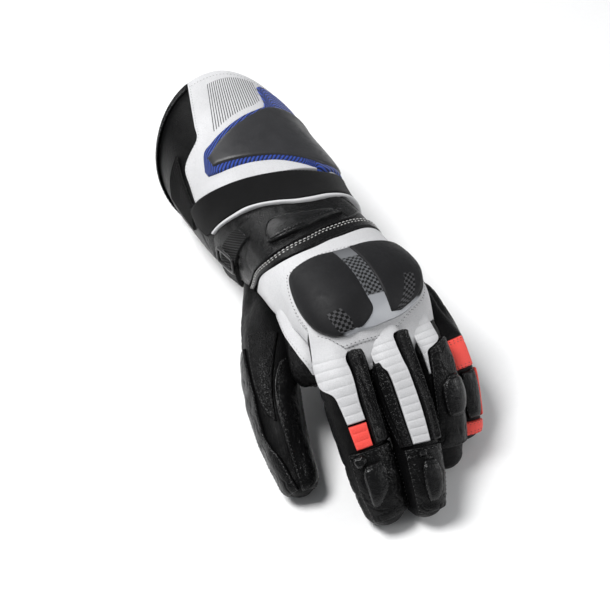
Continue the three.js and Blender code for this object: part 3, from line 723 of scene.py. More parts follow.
def make_materials(look):
    """Every finish of the glove, from the colours of the settings."""
    grain_group()
    blotch_group()
    weave_group()
    black, white, red = look.black, look.white, look.red
    return {
        "shell": leather("black shell leather", black, 1000.0, 0.6, 0.32, 0.085),
        "black": leather("black panel leather", black, 1000.0, 0.6, 0.2, 0.17, worn=2.0),
        "pebbled": leather("pebbled leather", black, 750.0, 2.0, 0.34, 0.13),
        "pad": leather("stuffed pad leather", black, 1000.0, 0.5, 0.14, 0.31, worn=1.2),
        "white": leather("white coated leather", white, **WHITE_COAT),
        "red": leather("red coated leather", red, 1300.0, 0.4, 0.42, seam=0.3, worn=1.0),
        "lining": cloth("lining cloth", (0.02, 0.02, 0.021, 1), 1.2, depth=0.0002),
        "blue": twill("blue edge tape", look.blue),
        "stretch": cloth("stretch cloth", black, 0.8, lift=1.4, sheen=0.08),
        "strap": cloth("strap tape", black, 1.1, 0.5, roughness=0.6, lift=1.3, sheen=0.05),
        "suede": suede("black suede", black),
        "plate": moulded("dark satin plate", look.shell, 0.42, 0.0),
        "striped": striped("striped white leather", white),
        "lobe": carbon_window("dark glossy shell", shade(look.shell, 0.45)),
        "frame": divider("guard frame", look.frame),
        "plastic": moulded("black plastic", black, 0.3, 0.1),
        "light thread": thread("light thread", (0.82, 0.82, 0.8, 1)),
        "grey thread": thread("grey thread", (0.28, 0.28, 0.28, 1)),
        "dim thread": thread("dim thread", (0.04, 0.04, 0.04, 1)),
        "dark thread": thread("dark thread", (0.02, 0.02, 0.022, 1)),
    }


# Pieces


def tube_shell(name, wall, tube, first, last, folds, node_name, outside, steps, sides):
    """A closed leather tube: its outer skin with its folds, its lining one wall inside it, and a rounded
    lip halfway between them."""
    piece = Piece()
    angle = np.linspace(0, 360, sides, endpoint=False)[None, :]
    s = np.linspace(first, last, steps)[:, None]
    skin = place(tube, s, angle, 0.0)
    depth = folds(skin, s, angle)
    outer = place(tube, s, angle, depth)
    inner = place(tube, s[::-1], angle, np.minimum(depth, 0)[::-1] - wall)
    lip = place(tube, np.full((1, 1), first), angle, np.minimum(depth[:1], 0) - wall / 2)
    lip[..., 1] += 0.4
    piece.patch(np.concatenate([lip, outer], axis=0), 0, wrap=True, flip=True)
    piece.patch(np.concatenate([inner, lip], axis=0), 1, wrap=True, flip=True)
    piece.build(name, (outside, "lining"), [node_name], merge=True)


def around(angle):
    """An angle carried to between -180 and 180 degrees."""
    return (angle + 180) % 360 - 180


def cuff_folds(skin, s, angle):
    """Soft unevenness, with creases where a smooth step of s reaches the wrist."""
    soft = 0.35 * ripple(skin, 60, 3)
    return soft + creases(skin, 38, 4, 0.5) * smooth(s, 1.8, 2.6)


def hand_folds(skin, s, angle):
    """Soft unevenness, with creases where a smooth step of |angle| reaches the sides and the palm."""
    soft = 0.3 * ripple(skin, 30, 7)
    side = smooth(np.abs(around(angle)), 60, 110)
    return soft + creases(skin, 20, 8, 0.7) * side


def welt(angle, at, rise, wide=3.5):
    """A raised seam along a tube: rise times exp(-((angle - at) / wide)^2)."""
    return rise * np.exp(-((around(angle - at) / wide) ** 2))


def finger_folds(seed, joints, seams=(-84, 84, 150, -150)):
    """Soft unevenness, thin creases, a fold across the finger at each joint, its long seams, and a root
    that lies deeper inside the hand."""

    def folds(skin, s, angle):
        turned = around(angle)
        under = smooth(np.abs(turned), 50, 110)
        deep = sum(np.exp(-(((s - joint) / 0.05) ** 2)) for joint in joints)
        sewn = sum(welt(angle, at, 0.7) for at in seams) * smooth(s, 1.2, 1.8) * (1 - smooth(s, 4.9, 5.4))
        rough = 0.15 * ripple(skin, 14, seed) + creases(skin, 9, seed + 1, 0.4) * (0.5 + 0.5 * under)
        return rough - 0.6 * deep * under + sewn + rooted(ROOT_SUNK)(0, s, turned)

    return folds


def ribs(count, rise, sharp=0.3, plain=0.0):
    """Padded ribs across a flap: rise times (|sin(pi q count)|^sharp - 1), from q = plain on."""
    return lambda p, q, skin: (
        rise * (np.abs(np.sin(math.pi * q * count)) ** sharp - 1) * smooth(q, plain - 0.01, plain + 0.02))


def rooted(depth):
    """Lowers the upper side of a finger towards its root, so that it comes out of the panel there
    without a step: minus depth times one smooth step down along s and one down along |angle|."""
    return lambda q, s, angle: -depth * (1 - smooth(s, *ROOT_RISE)) * (1 - smooth(np.abs(angle), 50, 95))


def brought_up(rise):
    """Raises the far end of a flap to meet the panel beside it: rise times a smooth step down along q."""
    return lambda q, s, angle: rise * (1 - smooth(q, 0.15, 0.6))


def ridges(count, rise):
    """Raised lines down a strip: rise times cos(2 pi count p) where it is above 0, squared."""
    return lambda p, q, skin: rise * np.maximum(np.cos(2 * math.pi * count * (p - 0.5)), 0) ** 2


def dome(rise):
    """A stuffed pad: rise times the square root of |sin(pi p) sin(pi q)|."""
    return lambda p, q, skin: rise * np.sqrt(np.abs(np.sin(math.pi * p) * np.sin(math.pi * q)))


def welted(rise, groove):
    """A stuffed pad inside a sewn-down border: the dome less groove times exp(-((near - 0.12) / 0.03)^2),
    where near is the share of the pad between a place and its edge."""

    def height(p, q, skin):
        near = np.minimum(np.minimum(p, 1 - p) * 1.5, np.minimum(q, 1 - q))
        return dome(rise)(p, q, skin) - groove * np.exp(-(((near - 0.12) / 0.03) ** 2))

    return height


def soft(size, seed, rise, depth=0.0):
    """Unevenness of soft leather, with thin folds where depth is given."""
    return lambda p, q, skin: rise * ripple(skin, size, seed) + creases(skin, size * 0.7, seed + 1, depth)


def both(*parts):
    """The sum of several reliefs."""
    return lambda p, q, skin: sum(part(p, q, skin) for part in parts)


GAUNTLET_PANEL = [
    (-0.02, -16, 68), (0.6, -24, 74), (1.1, -30, 78), (1.5, -36, 80),
    (1.75, -58, 80), (2.1, -66, 80), (2.5, -73, 80), (3.0, -72, 84), (3.44, -50, 84),
]
STRIPES_LEFT = ((0.28, -4), (1.65, -21))
STRIPES_RIGHT = ((0.23, 31), (1.15, 26))
PLATE_BORDER = [
    (-45, 2.3, 2.42), (-36, 1.95, 2.56), (-26, 1.86, 2.68), (-8, 1.68, 2.89), (4, 1.54, 3.05),
    (16, 1.42, 3.22), (25, 1.2, 3.34), (31, 0.4, 3.42), (42, 0.36, 3.46), (60, 0.45, 3.32), (80, 0.75, 3.14),
]
GAUNTLET_PLATE = [
    (-36.5, 2.13, 2.38), (-33, 2.1, 2.43), (-29, 2.06, 2.47), (-8, 1.82, 2.76), (11, 1.57, 3.05),
    (25, 1.38, 3.22), (41, 1.29, 3.33), (60, 1.2, 3.2), (76, 1.15, 3.05),
]
STRETCH_GUSSET = [(1.15, -96, -58), (1.6, -98, -66), (2.0, -100, -74), (2.3, -100, -80)]
CUFF_BINDING = [(-0.02, 66, 345), (0.13, 70, 341)]
CLOSURE_FLAP = [
    (-88, 2.62, 3.16), (-81, 2.36, 3.38), (-68, 2.48, 3.58), (-52, 2.74, 3.8),
    (-34, 3.06, 3.98), (-16, 3.3, 4.24), (2, 3.46, 4.48), (20, 3.58, 4.48),
    (38, 3.58, 4.42), (60, 3.4, 4.3), (82, 3.25, 4.2), (104, 3.2, 4.15),
]
PIPING_WIDTH = 0.09
WRIST_PANEL = [
    (-108, 3.4, 4.56), (-87, 3.4, 4.97), (-58, 3.6, 5.35), (-21, 3.95, 5.45),
    (3, 4.15, 5.32), (26, 4.2, 5.18), (46, 4.2, 4.9),
]
WRIST_PAD = [
    (-46, 5.02, 5.12), (-38, 4.78, 5.2), (-30, 4.64, 5.25), (-20, 4.7, 5.26), (-8, 4.8, 5.24),
    (6, 4.92, 5.14), (20, 5.0, 5.06),
]
SEAM_BAND = [
    (-108, 4.62, 4.8), (-87, 5.02, 5.22), (-58, 5.4, 5.62), (-21, 5.5, 5.78),
    (3, 5.37, 5.66), (34, 5.2, 5.44), (60, 5.1, 5.34), (84, 5.0, 5.24),
]
WRIST_STRAP = [(-122, 3.55, 4.1), (-96, 3.7, 4.25), (-70, 3.96, 4.46), (-56, 4.14, 4.56)]
BACK_PANEL_END = 8.3
BACK_PANEL_CORNER = (-104, 5.02, 6.7)
BACK_PANEL_SIDE = [(0.75, -96, 40), (1.0, -86, 40), (1.4, -74, 50), (2.0, -36, 60), (2.6, -4, 66)]
GUARD = [
    (6.24, -50, 36), (6.36, -63, 48), (6.6, -74, 53), (6.86, -81, 53),
    (7.08, -81, 44), (7.26, -74, 29), (7.4, -58, 9), (7.48, -40, -13),
]
RIBBED = {
    "index_ribs": (13, "white", 0.42, [
        (0.8, -80, 55), (1.56, -87, 52), (1.64, -88, 17), (1.76, -90, 4), (1.98, -89, 5),
        (2.16, -83, 5), (2.33, -48, 4), (2.56, -39, 3), (2.86, -34, 4)]),
    "index_red_ribs": (3, "red", 0.0, [(2.89, -34, 4), (3.34, -31, 3)]),
    "middle_ribs": (19, "white", 0.28, [
        (0.9, -48, 60), (1.5, -56, 60), (1.6, -58, 21), (1.76, -60, 14), (1.99, -54, 12),
        (2.13, -33, 12), (2.3, -25, 14), (3.0, -24, 16), (3.48, -19, 18)]),
    "ring_ribs": (12, "white", 0.4, [
        (0.95, -32, 54), (1.77, -28, 38), (2.0, -25, 30), (2.14, -23, -3), (2.3, -22, -10), (2.6, -21, -15)]),
}
TONGUES = {
    "index_tongue": [
        (1.63, 22, 38), (1.68, 11, 48), (1.77, 6, 54), (1.98, 7, 60), (2.2, 7, 62), (2.5, 6, 62),
        (3.34, 5, 60)],
    "middle_tongue": [
        (1.57, 38, 54), (1.62, 26, 60), (1.72, 17, 62), (2.05, 14, 62), (2.44, 16, 62), (2.92, 18, 60),
        (3.48, 20, 60)],
    "ring_panel": [
        (2.0, 40, 58), (2.14, 0, 60), (2.3, -8, 62), (2.64, -16, 62), (3.1, -24, 62), (4.4, -36, 62)],
}
SIDE_PANELS = {
    "index_side_panel": [(2.06, 9, 18), (2.2, 6, 24), (2.5, 5, 38), (3.34, 5, 64)],
    "middle_side_panel": [
        (2.0, -52, -40), (2.06, -62, -34), (2.3, -75, -27), (2.6, -78, -27), (3.0, -70, -26),
        (3.5, -55, -20)],
    "middle_outer_panel": [(2.3, 18, 26), (2.44, 16, 44), (2.92, 18, 64), (3.48, 20, 64)],
}
CAPS = {
    "index_cap": [(3.37, -58, 58), (4.2, -62, 58), (5.25, -58, 54)],
    "middle_cap": [(3.53, -46, 60), (4.3, -48, 60), (5.25, -48, 58)],
}
PADS = {
    "index_pad": [(3.62, -22, 2), (3.8, -34, 12), (4.1, -36, 8), (4.4, -38, -6), (4.6, -36, -22)],
    "index_bump": [(3.42, -41, -22), (3.5, -46, -14), (3.58, -44, -16), (3.66, -40, -28)],
    "middle_pad": [(3.76, -4, 14), (3.95, -12, 24), (4.3, -14, 24), (4.6, -12, 14), (4.78, -8, 4)],
    "middle_bump": [(3.58, -12, 0), (3.65, -15, 3), (3.72, -12, 0)],
    "ring_pad": [(2.7, 14, 36), (2.86, -2, 50), (3.15, -6, 54), (3.42, -4, 40), (3.56, 2, 20)],
}
LITTLE_PARTS = {
    "little_red_panel": ("red", [(2.2, -26, 36), (2.92, -36, 42)]),
    "little_pad": ("pad", [(3.0, -2, 38), (3.4, -10, 42), (4.1, -8, 42), (4.6, 0, 30)]),
    "little_side_band": ("red", [(3.0, 48, 62), (4.6, 48, 62)]),
    "little_tip_patch": ("red", [(4.75, -40, 50), (5.35, -40, 50)]),
}
THUMB_PARTS = {
    "thumb_back_panel": [
        (2.8, 22, 34), (2.86, 12, 48), (3.0, 4, 66), (3.15, -1, 74), (3.66, -9, 84), (4.17, -8, 84),
        (4.77, -12, 80), (5.3, -16, 70), (5.6, -14, 60)],
    "thumb_side_panel": [
        (2.5, -104, -64), (2.95, -108, -57), (3.31, -112, -53), (3.98, -112, -60), (4.28, -112, -52),
        (4.57, -110, -36), (5.1, -104, -26), (5.5, -96, -22)],
}
THUMB_TONGUE = [(2.3, -50, 10), (3.0, -50, 0), (3.4, -46, -8), (3.7, -34, -12), (3.88, -18, -13)]


def widened(rows, side, end):
    """An outline of stations made wider by an angle on both sides and longer at both ends."""
    made = [[s, left - side, right + side] for s, left, right in rows]
    made[0][0] -= end
    made[-1][0] += end
    return made


def lay(name, tube, where, top, size, finish, stitches=None, seams=(), nodes=None,
        joined=None, fields=None, **shape):
    """Lays a flap on a tube, sews it and builds it. Each seam is its sides, its distance inside them, and
    where they aren't the fine ones its stitches' pitch, length and radius. A piece with no nodes of its
    own shows only in the visual model."""
    flap = Flap(tube, where, top, size, **shape)
    if joined:
        flap.join(joined)
    for seam in seams:
        flap.seam(*seam)
    if fields:
        flap.fields.update(fields(flap))
    finishes = (finish,) if stitches is None else (finish, stitches + " thread")
    made = flap.build(name, finishes, [name] if nodes is None else nodes)


def build_shells(look):
    wall = look.wall / MM
    tube_shell("cuff_shell", wall, "hand", 0.0, 3.02, cuff_folds, "cuff_shell", "shell", 90, 140)
    tube_shell("hand_shell", wall, "hand", 2.98, 9.0, hand_folds, "hand_shell", "pebbled", 150, 140)
    for finger, seed in {"index": 11, "middle": 21, "ring": 31, "little": 41}.items():
        name, folds = finger + "_finger", finger_folds(seed, (2.4, 3.6, 4.3))
        tube_shell(name, wall, finger, 0.6, 6.0, folds, name, "shell", 130, 72)
    tube_shell("thumb", wall, "thumb", 0.6, 6.0, finger_folds(51, (2.6, 3.9)), "thumb", "shell", 130, 80)
    tube_shell("thumb_web", wall, "web", 0.0, 3.0, finger_folds(61, (1.0,)), "hand_shell", "pebbled", 60, 60)


def stripe_fields(panel):
    """Where the stripes lie: how far across their field a place is, from 0 to 1, between two straight
    lines through its corners, and how far inside its ends it is, in stations."""
    x, y = panel.grid[..., 0], panel.grid[..., 1]
    sides = []
    for rim, plate in (STRIPES_LEFT, STRIPES_RIGHT):
        (x0, y0), (x1, y1) = (place("hand", s, angle, LAYER[1])[:2] for s, angle in (rim, plate))
        sides.append(x0 + (x1 - x0) * (y - y0) / (y1 - y0))
    across = (x - sides[0]) / (sides[1] - sides[0])
    plate = np.interp(panel.angle, *np.array(PLATE_BORDER).T[:2])
    inside = np.minimum(panel.s - (0.28 - 0.08 * across), plate - 0.16 - panel.s)
    return {"stripe": across, "inside": np.minimum(inside, np.minimum(across, 1 - across))}


def divider_field(guard):
    """How light the guard's frame is: 1 between the lobes and along the near edge beside them, and half
    as much along the far edge. Elsewhere the frame keeps its dark base, painted shade of the crevice beside
    the lobes."""
    s, angle = guard.s, guard.angle
    between = smooth(angle, -13, -10) * (1 - smooth(angle, 2, 5))
    near_edge = smooth(s, 7.22, 7.26) * smooth(angle, -44, -38)
    far_edge = 0.5 * smooth(angle, -50, -44) * (1 - smooth(s, 6.36, 6.4))
    return {"light": np.clip(between + near_edge + far_edge, 0, 1)}


def build_gauntlet(look):
    lay("gauntlet_panel", "hand", by_station(GAUNTLET_PANEL), LAYER[1], (110, 120), "striped", "grey",
        [("far", 3.2), ("left right", 2.0)], fields=stripe_fields, relief=soft(45, 71, 0.25))
    lay("plate_border", "hand", by_angle(PLATE_BORDER), LAYER[2], (120, 60), "blue", edge=1.2)
    lay("gauntlet_plate", "hand", by_angle(GAUNTLET_PLATE), LAYER[3] - 0.6, (120, 60), "plate",
        edge=1.4, relief=dome(0.6))
    lay("stretch_gusset", "hand", by_station(STRETCH_GUSSET), LAYER[1], (50, 150), "stretch",
        relief=ribs(14, 1.2, 0.7), even=True)
    lay("cuff_binding", "hand", by_station(CUFF_BINDING), LAYER[1], (200, 14), "black", "dark",
        [("near", 1.0, *STRONG_STITCH, 0.3)], edge=0.8)


def build_wrist(look):
    lay("closure_flap", "hand", by_angle(CLOSURE_FLAP), LAYER[2], (140, 60), "suede", "dim",
        [("far", 1.6), ("left", 2.0)], edge=1.0, relief=soft(40, 81, 0.3))
    line = [(a, near, near + PIPING_WIDTH) for a, far, near in CLOSURE_FLAP[1:]]
    lay("flap_piping", "hand", by_angle(line), LAYER[2] + 0.2, (170, 14), "white", "dark",
        [("far", 0.5, 2.4, 1.2, 0.18)], edge=0.8)
    lay("wrist_panel", "hand", by_angle(WRIST_PANEL), LAYER[1], (110, 70), "black",
        relief=soft(32, 84, 0.4, 0.3))
    lay("wrist_pad", "hand", by_angle(WRIST_PAD), LAYER[2] + 0.3, (90, 70), "pad", "dim",
        [("near far", 2.6)], edge=0.7, relief=welted(0.8, 0.9))
    radius = look.thread / MM
    lay("wrist_seam_band", "hand", by_angle(SEAM_BAND), LAYER[1] + 0.1, (150, 16), "black", "light",
        [("far", 0.8, 2.5, 2.4, radius), ("far", 2.5, 2.4, 1.7, radius)], edge=0.8)
    lay("wrist_strap", "hand", by_angle(WRIST_STRAP), LAYER[2], (70, 30), "strap", "dark",
        [("left right", 1.6, *STRONG_STITCH, 0.22)], edge=0.6)


def build_slider(look):
    """A moulded loop: a bar carried round a rectangle of stations and angles with rounded corners, which
    are the sine and the cosine of a turn to the power of 0.35."""
    turn = np.linspace(0, 2 * math.pi, 96, endpoint=False)
    across, ahead = (np.sign(v) * np.abs(v) ** 0.35 for v in (np.cos(turn), np.sin(turn)))
    s = SLIDER_PLACE[0] + SLIDER_HALF[0] * ahead
    angle = SLIDER_PLACE[1] + SLIDER_HALF[1] * across
    middle = place("hand", s, angle, LAYER[3])
    out = unit(place("hand", s, angle, LAYER[3] + 1) - middle)
    side = unit(np.cross(np.roll(middle, -1, axis=0) - np.roll(middle, 1, axis=0), out))
    turn = np.linspace(0, 2 * math.pi, 12, endpoint=False)[None, :, None]
    wide, thick = SLIDER_BAR
    bar = middle[:, None] + wide * np.cos(turn) * side[:, None] + thick * np.sin(turn) * out[:, None]
    piece = Piece()
    piece.patch(np.concatenate([bar, bar[:1]], axis=0), wrap=True)
    piece.build("strap_slider", ["plastic"], ["strap_slider"], merge=True)


def build_back(look):
    rows = [BACK_PANEL_CORNER] + [(a, near + 0.03, BACK_PANEL_END) for a, far, near in SEAM_BAND[1:]]
    side = Flap("web", by_station(BACK_PANEL_SIDE), LAYER[1], (60, 80), base=brought_up(1.6),
                relief=soft(34, 92, 0.2))
    side.seam("left", 2.0)
    lay("back_panel", "hand", by_angle(rows), LAYER[1], (130, 130), "white", "grey", [("left", 2.0)],
        joined=side, relief=soft(34, 91, 0.3))
    around = "left right far near"
    lay("guard_rim", "hand", by_station(widened(GUARD, 8, 0.16)), LAYER[2] - 0.3, (110, 80), "white",
        "dark", [(around, 1.2), (around, 2.6)], edge=2.4)
    lay("knuckle_guard", "hand", by_station(widened(GUARD, -1.5, -0.02)), LAYER[3] + 0.2, (110, 80),
        "frame", fields=divider_field, edge=3.0)
    inner = [(s, left + 4, min(right - 3, -9 - 80 * max(s - 7.26, 0))) for s, left, right in GUARD]
    outer = [(s - 0.04 + 0.1 * (i == 0), -1, right - 4) for i, (s, left, right) in enumerate(GUARD[:7])]
    top, relief = LAYER[3] + 0.9, dome(look.lobes / MM)
    lay("guard_inner_lobe", "hand", by_station(widened(inner, 0, -0.09)), top, (110, 110), "lobe",
        edge=2.6, relief=relief)
    lay("guard_outer_lobe", "hand", by_station(outer), top, (100, 100), "lobe", edge=2.2, relief=relief)


def tube_of(name):
    """The tube that a finger's piece lies on is the first word of its name."""
    return name.split("_")[0]


def build_ribs(look):
    for name, (count, colour, plain, rows) in RIBBED.items():
        lay(name, tube_of(name), by_station(rows, True), LAYER[1], (70, count * 14), colour,
            relief=ribs(count, look.ribs / MM, plain=plain), base=rooted(ROOT_DEPTH) if plain else None,
            even=True)


def build_tongues(look):
    """The black leather between the strips, and the panels beside it that only the visual model shows."""
    ridged = both(ridges(2, 1.5), soft(9, 95, 0.1, 0.2))
    for name, rows in TONGUES.items():
        relief = ridged if "tongue" in name else soft(11, 95, 0.2, 0.35)
        lay(name, tube_of(name), by_station(rows), LAYER[1] + 0.3, (80, 130), "black", "dim",
            [("left far", 1.0)], edge=1.0, relief=relief, foot=rooted(ROOT_SUNK))
    for name, rows in SIDE_PANELS.items():
        top = LAYER[1] + (0.3 if name == "middle_side_panel" else 0.7)
        lay(name, tube_of(name), by_station(rows), top, (60, 120), "black", "dark", [("left right", 1.0)],
            (), edge=0.9, relief=both(ridges(2, 0.5), soft(8, 96, 0.1, 0.25)), foot=rooted(ROOT_SUNK))


def build_caps(look):
    for name, rows in CAPS.items():
        lay(name, tube_of(name), by_station(rows), LAYER[1], (90, 90), "black", "dim",
            [("left right far", 1.4)], relief=soft(10, 97, 0.15, 0.35))


def build_pads(look):
    for name, rows in PADS.items():
        whole = name.endswith("pad")
        relief = welted((1.0 if whole else 0.65) * look.pads / MM, 0.5 if whole else 0.0)
        lay(name, tube_of(name), by_station(rows), LAYER[2], (70, 80), "pad", "dim",
            [("left right", 1.0)] if whole else [], edge=1.0, relief=relief)


def build_little_finger(look):
    for name, (finish, rows) in LITTLE_PARTS.items():
        stuffed = finish == "pad"
        lay(name, "little", by_station(rows), LAYER[1], (56, 56), finish, "dark",
            [("left right", 1.0)] if stuffed else [("far near", 1.0), ("far near", 2.2)],
            relief=dome(1.2) if stuffed else soft(12, 99, 0.1))


def build_thumb_panels(look):
    """The two long panels of the thumb, and the tongue beside them that only the visual model shows."""
    for name, rows in THUMB_PARTS.items():
        lay(name, "thumb", by_station(rows), LAYER[1] + 0.2, (60, 110), "black", "dim",
            [("left right", 1.4)], edge=1.2, relief=soft(16, 101, 0.3, 0.3))
    lay("thumb_tongue", "thumb", by_station(THUMB_TONGUE), LAYER[1] - 0.3, (60, 90), "pebbled", "dim",
        [("left near", 1.2)], (), relief=soft(14, 103, 0.2, 0.2))


def add_object(name, data):
    """An object in the scene that shows a mesh, a light or a camera."""
    made = bpy.data.objects.new(name, data)
    bpy.context.scene.collection.objects.link(made)
    return made


def aimed(obj, spot, direction):
    """Puts a light or a camera at a spot and turns it to look along a direction."""
    obj.location = spot
    obj.rotation_mode = "QUATERNION"
    obj.rotation_quaternion = direction.to_track_quat("-Z", "Y")


def build_floor(look):
    """A level floor for t up to 0.5, which then runs on by 2 (t - 0.5) and rises by 12 (t - 0.5)^2."""
    t = np.linspace(0, 1, 40)[:, None]
    x = np.linspace(-4, 4, 3)[None, :]
    past = np.maximum(t - 0.5, 0)
    run = np.minimum(t / 0.5, 1) * 6 - 3 + past * 2
    grid = np.stack(np.broadcast_arrays(x, run, past**2 * 12 - FLOOR_GAP), axis=-1)
    quads = corners_of(np.arange(grid.shape[0] * 3).reshape(-1, 3))
    mesh = bpy.data.meshes.new("floor")
    mesh.from_pydata(grid.reshape(-1, 3).tolist(), [], quads.tolist())
    mesh.polygons.foreach_set("use_smooth", np.ones(len(quads), bool))
    made, tree, shader, where = start_material("pale floor", 0.7)
    paper = noise(where, 300.0, 4.0)
    covered(shader, mix(paper, shade(look.floor, 0.98), shade(look.floor, 1.02)), paper, 0.00005)
    mesh.materials.append(made)
    add_object("floor", mesh)


def build_stage(look):
    """A pale floor that curves up behind, soft light from all round, three large lights, and a camera
    before the fingers on the thumb's side."""
    build_floor(look)
    world = bpy.data.worlds.new("studio")
    world.use_nodes = True
    sky = world.node_tree.nodes["Background"].inputs
    sky["Color"].default_value = (0.95, 0.97, 1.0, 1)
    sky["Strength"].default_value = look.sky
    bpy.context.scene.world = world
    aim = Vector((0.0, 0.0, 0.05))
    for name, spot, size, power in (
        ("key light", (-0.45, 0.1, 1.0), 0.4, look.key),
        ("fill light", (0.9, -0.6, 0.6), 0.5, look.fill),
        ("rim light", (-0.2, 1.1, 0.6), 0.5, look.fill),
    ):
        light = bpy.data.lights.new(name, "AREA")
        light.size = size
        light.energy = power
        aimed(add_object(name, light), spot, aim - Vector(spot))
    camera = bpy.data.cameras.new("camera")
    camera.lens = look.lens
    camera.shift_x, camera.shift_y = CAMERA_SHIFT
    camera.clip_start = 0.01
    turn, lift = (math.radians(angle) for angle in CAMERA_ANGLES)
    back = Vector((math.sin(turn) * math.cos(lift), -math.cos(turn) * math.cos(lift), math.sin(lift)))
    eye = add_object("camera", camera)
    aimed(eye, Vector(CAMERA_TARGET) + back * CAMERA_DISTANCE, -back)
    bpy.context.scene.camera = eye
    bpy.context.scene.view_settings.view_transform = "Standard"


# The add-on


def colour_setting(name, description, default):
    return bpy.props.FloatVectorProperty(
        name=name, description=description, subtype="COLOR", size=4, min=0, max=1, default=default)


def number_setting(name, description, default, unit="LENGTH", low=0):
    return bpy.props.FloatProperty(name=name, description=description, unit=unit, min=low, default=default)


class GloveLook(bpy.types.PropertyGroup):
    """Sizes, colours of the leather and the strength of the lights"""

    wall: number_setting("Leather", "Thickness of the leather of the shells", 0.002)
    ribs: number_setting("Ribs", "Depth of the grooves between the padded ribs", 0.0006)
    pads: number_setting("Pads", "How far the stuffed finger pads rise", 0.0018)
    lobes: number_setting("Guard lobes", "How far the guard's lobes rise over their frame", 0.001)
    thread: number_setting("Thread", "Radius of the thread of the double seam at the wrist", 0.00024)
    black: colour_setting("Black leather", "Colour of the black pieces", (0.0035, 0.0035, 0.0037, 1))
    white: colour_setting("White leather", "Colour of the white leather", (0.6, 0.6, 0.61, 1))
    red: colour_setting("Red leather", "Colour of the red leather", (1.0, 0.09, 0.07, 1))
    blue: colour_setting("Blue tape", "Colour of the woven edge tape", (0.028, 0.075, 0.42, 1))
    shell: colour_setting("Dark plastic", "Colour of the plate and the lobes", (0.026, 0.026, 0.028, 1))
    frame: colour_setting("Guard frame", "Colour of the frame round the lobes", (0.33, 0.34, 0.36, 1))
    floor: colour_setting("Floor", "Colour of the floor", (0.92, 0.92, 0.92, 1))
    sky: number_setting("Sky", "Strength of the light from all round", 0.24, "NONE")
    key: number_setting("Key light", "Power of the main light", 13, "POWER")
    fill: number_setting("Fill light", "Power of the other lights", 4, "POWER")
    lens: number_setting("Lens", "Focal length of the camera", 82.6, "CAMERA", 1)


class GLOVE_OT_finishes(bpy.types.Operator):
    """Make every material of the glove"""

    bl_idname = "glove.finishes"
    bl_label = "Make finishes"

    def execute(self, context):
        FINISH.update(make_materials(context.scene.glove_look))
        return {"FINISHED"}


class GLOVE_OT_shells(bpy.types.Operator):
    """Build the cuff, the hand, the fingers and the thumb as hollow leather"""

    bl_idname = "glove.shells"
    bl_label = "Leather shells"

    def execute(self, context):
        build_shells(context.scene.glove_look)
        return {"FINISHED"}


class GLOVE_OT_gauntlet(bpy.types.Operator):
    """Lay the white panel, the plate with its tape, the gusset and the binding on the cuff"""

    bl_idname = "glove.gauntlet"
    bl_label = "Gauntlet"

    def execute(self, context):
        build_gauntlet(context.scene.glove_look)
        return {"FINISHED"}


class GLOVE_OT_wrist(bpy.types.Operator):
    """Lay the closure flap, its piping, the wrist leather, its pad, the seam band and the strap"""

    bl_idname = "glove.wrist"
    bl_label = "Wrist"

    def execute(self, context):
        build_wrist(context.scene.glove_look)
        return {"FINISHED"}


class GLOVE_OT_slider(bpy.types.Operator):
    """Build the moulded loop of the strap"""

    bl_idname = "glove.slider"
    bl_label = "Strap slider"

    def execute(self, context):
        build_slider(context.scene.glove_look)
        return {"FINISHED"}


class GLOVE_OT_back(bpy.types.Operator):
    """Lay the white back panel and the knuckle guard on the hand"""

    bl_idname = "glove.back"
    bl_label = "Back and knuckle guard"

    def execute(self, context):
        build_back(context.scene.glove_look)
        return {"FINISHED"}


class GLOVE_OT_ribs(bpy.types.Operator):
    """Lay the ribbed strips on the fingers"""

    bl_idname = "glove.ribs"
    bl_label = "Ribbed strips"

    def execute(self, context):
        build_ribs(context.scene.glove_look)
        return {"FINISHED"}


class GLOVE_OT_tongues(bpy.types.Operator):
    """Lay the black leather between the ribbed strips"""

    bl_idname = "glove.tongues"
    bl_label = "Tongues"

    def execute(self, context):
        build_tongues(context.scene.glove_look)
        return {"FINISHED"}


class GLOVE_OT_caps(bpy.types.Operator):
    """Lay the caps over the finger tips"""

    bl_idname = "glove.caps"
    bl_label = "Finger caps"

    def execute(self, context):
        build_caps(context.scene.glove_look)
        return {"FINISHED"}


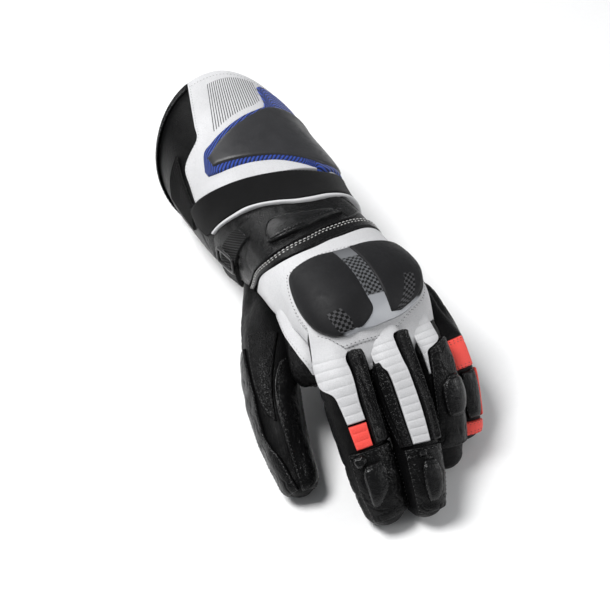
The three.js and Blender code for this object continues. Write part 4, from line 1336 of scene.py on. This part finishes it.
class GLOVE_OT_pads(bpy.types.Operator):
    """Lay the stuffed pads on the fingers"""

    bl_idname = "glove.pads"
    bl_label = "Stuffed pads"

    def execute(self, context):
        build_pads(context.scene.glove_look)
        return {"FINISHED"}


class GLOVE_OT_little_finger(bpy.types.Operator):
    """Lay the red leather and the pad on the little finger"""

    bl_idname = "glove.little_finger"
    bl_label = "Little finger"

    def execute(self, context):
        build_little_finger(context.scene.glove_look)
        return {"FINISHED"}


class GLOVE_OT_thumb(bpy.types.Operator):
    """Lay the two panels on the thumb"""

    bl_idname = "glove.thumb"
    bl_label = "Thumb panels"

    def execute(self, context):
        build_thumb_panels(context.scene.glove_look)
        return {"FINISHED"}


class GLOVE_OT_stage(bpy.types.Operator):
    """Build the floor, the lights and the camera"""

    bl_idname = "glove.stage"
    bl_label = "Stage"

    def execute(self, context):
        build_stage(context.scene.glove_look)
        return {"FINISHED"}


STEPS = (
    GLOVE_OT_finishes, GLOVE_OT_shells, GLOVE_OT_gauntlet, GLOVE_OT_wrist, GLOVE_OT_slider, GLOVE_OT_back,
    GLOVE_OT_ribs, GLOVE_OT_tongues, GLOVE_OT_caps, GLOVE_OT_pads, GLOVE_OT_little_finger, GLOVE_OT_thumb,
    GLOVE_OT_stage,
)


class GLOVE_PT_panel(bpy.types.Panel):
    """The glove's settings and the steps that build it"""

    bl_idname = "GLOVE_PT_panel"
    bl_label = "Race Glove"
    bl_space_type = "VIEW_3D"
    bl_region_type = "UI"
    bl_category = "Glove"

    def draw(self, context):
        look = context.scene.glove_look
        for name in GloveLook.__annotations__:
            self.layout.prop(look, name)
        for step in STEPS:
            self.layout.operator(step.bl_idname)


CLASSES = (GloveLook, *STEPS, GLOVE_PT_panel)


def register():
    for item in CLASSES:
        bpy.utils.register_class(item)
    bpy.types.Scene.glove_look = bpy.props.PointerProperty(type=GloveLook)


def unregister():
    del bpy.types.Scene.glove_look
    for item in reversed(CLASSES):
        bpy.utils.unregister_class(item)


def main():
    register()
    for step in STEPS:
        getattr(bpy.ops.glove, step.bl_idname.split(".")[1])()


if __name__ == "__main__":
    main()
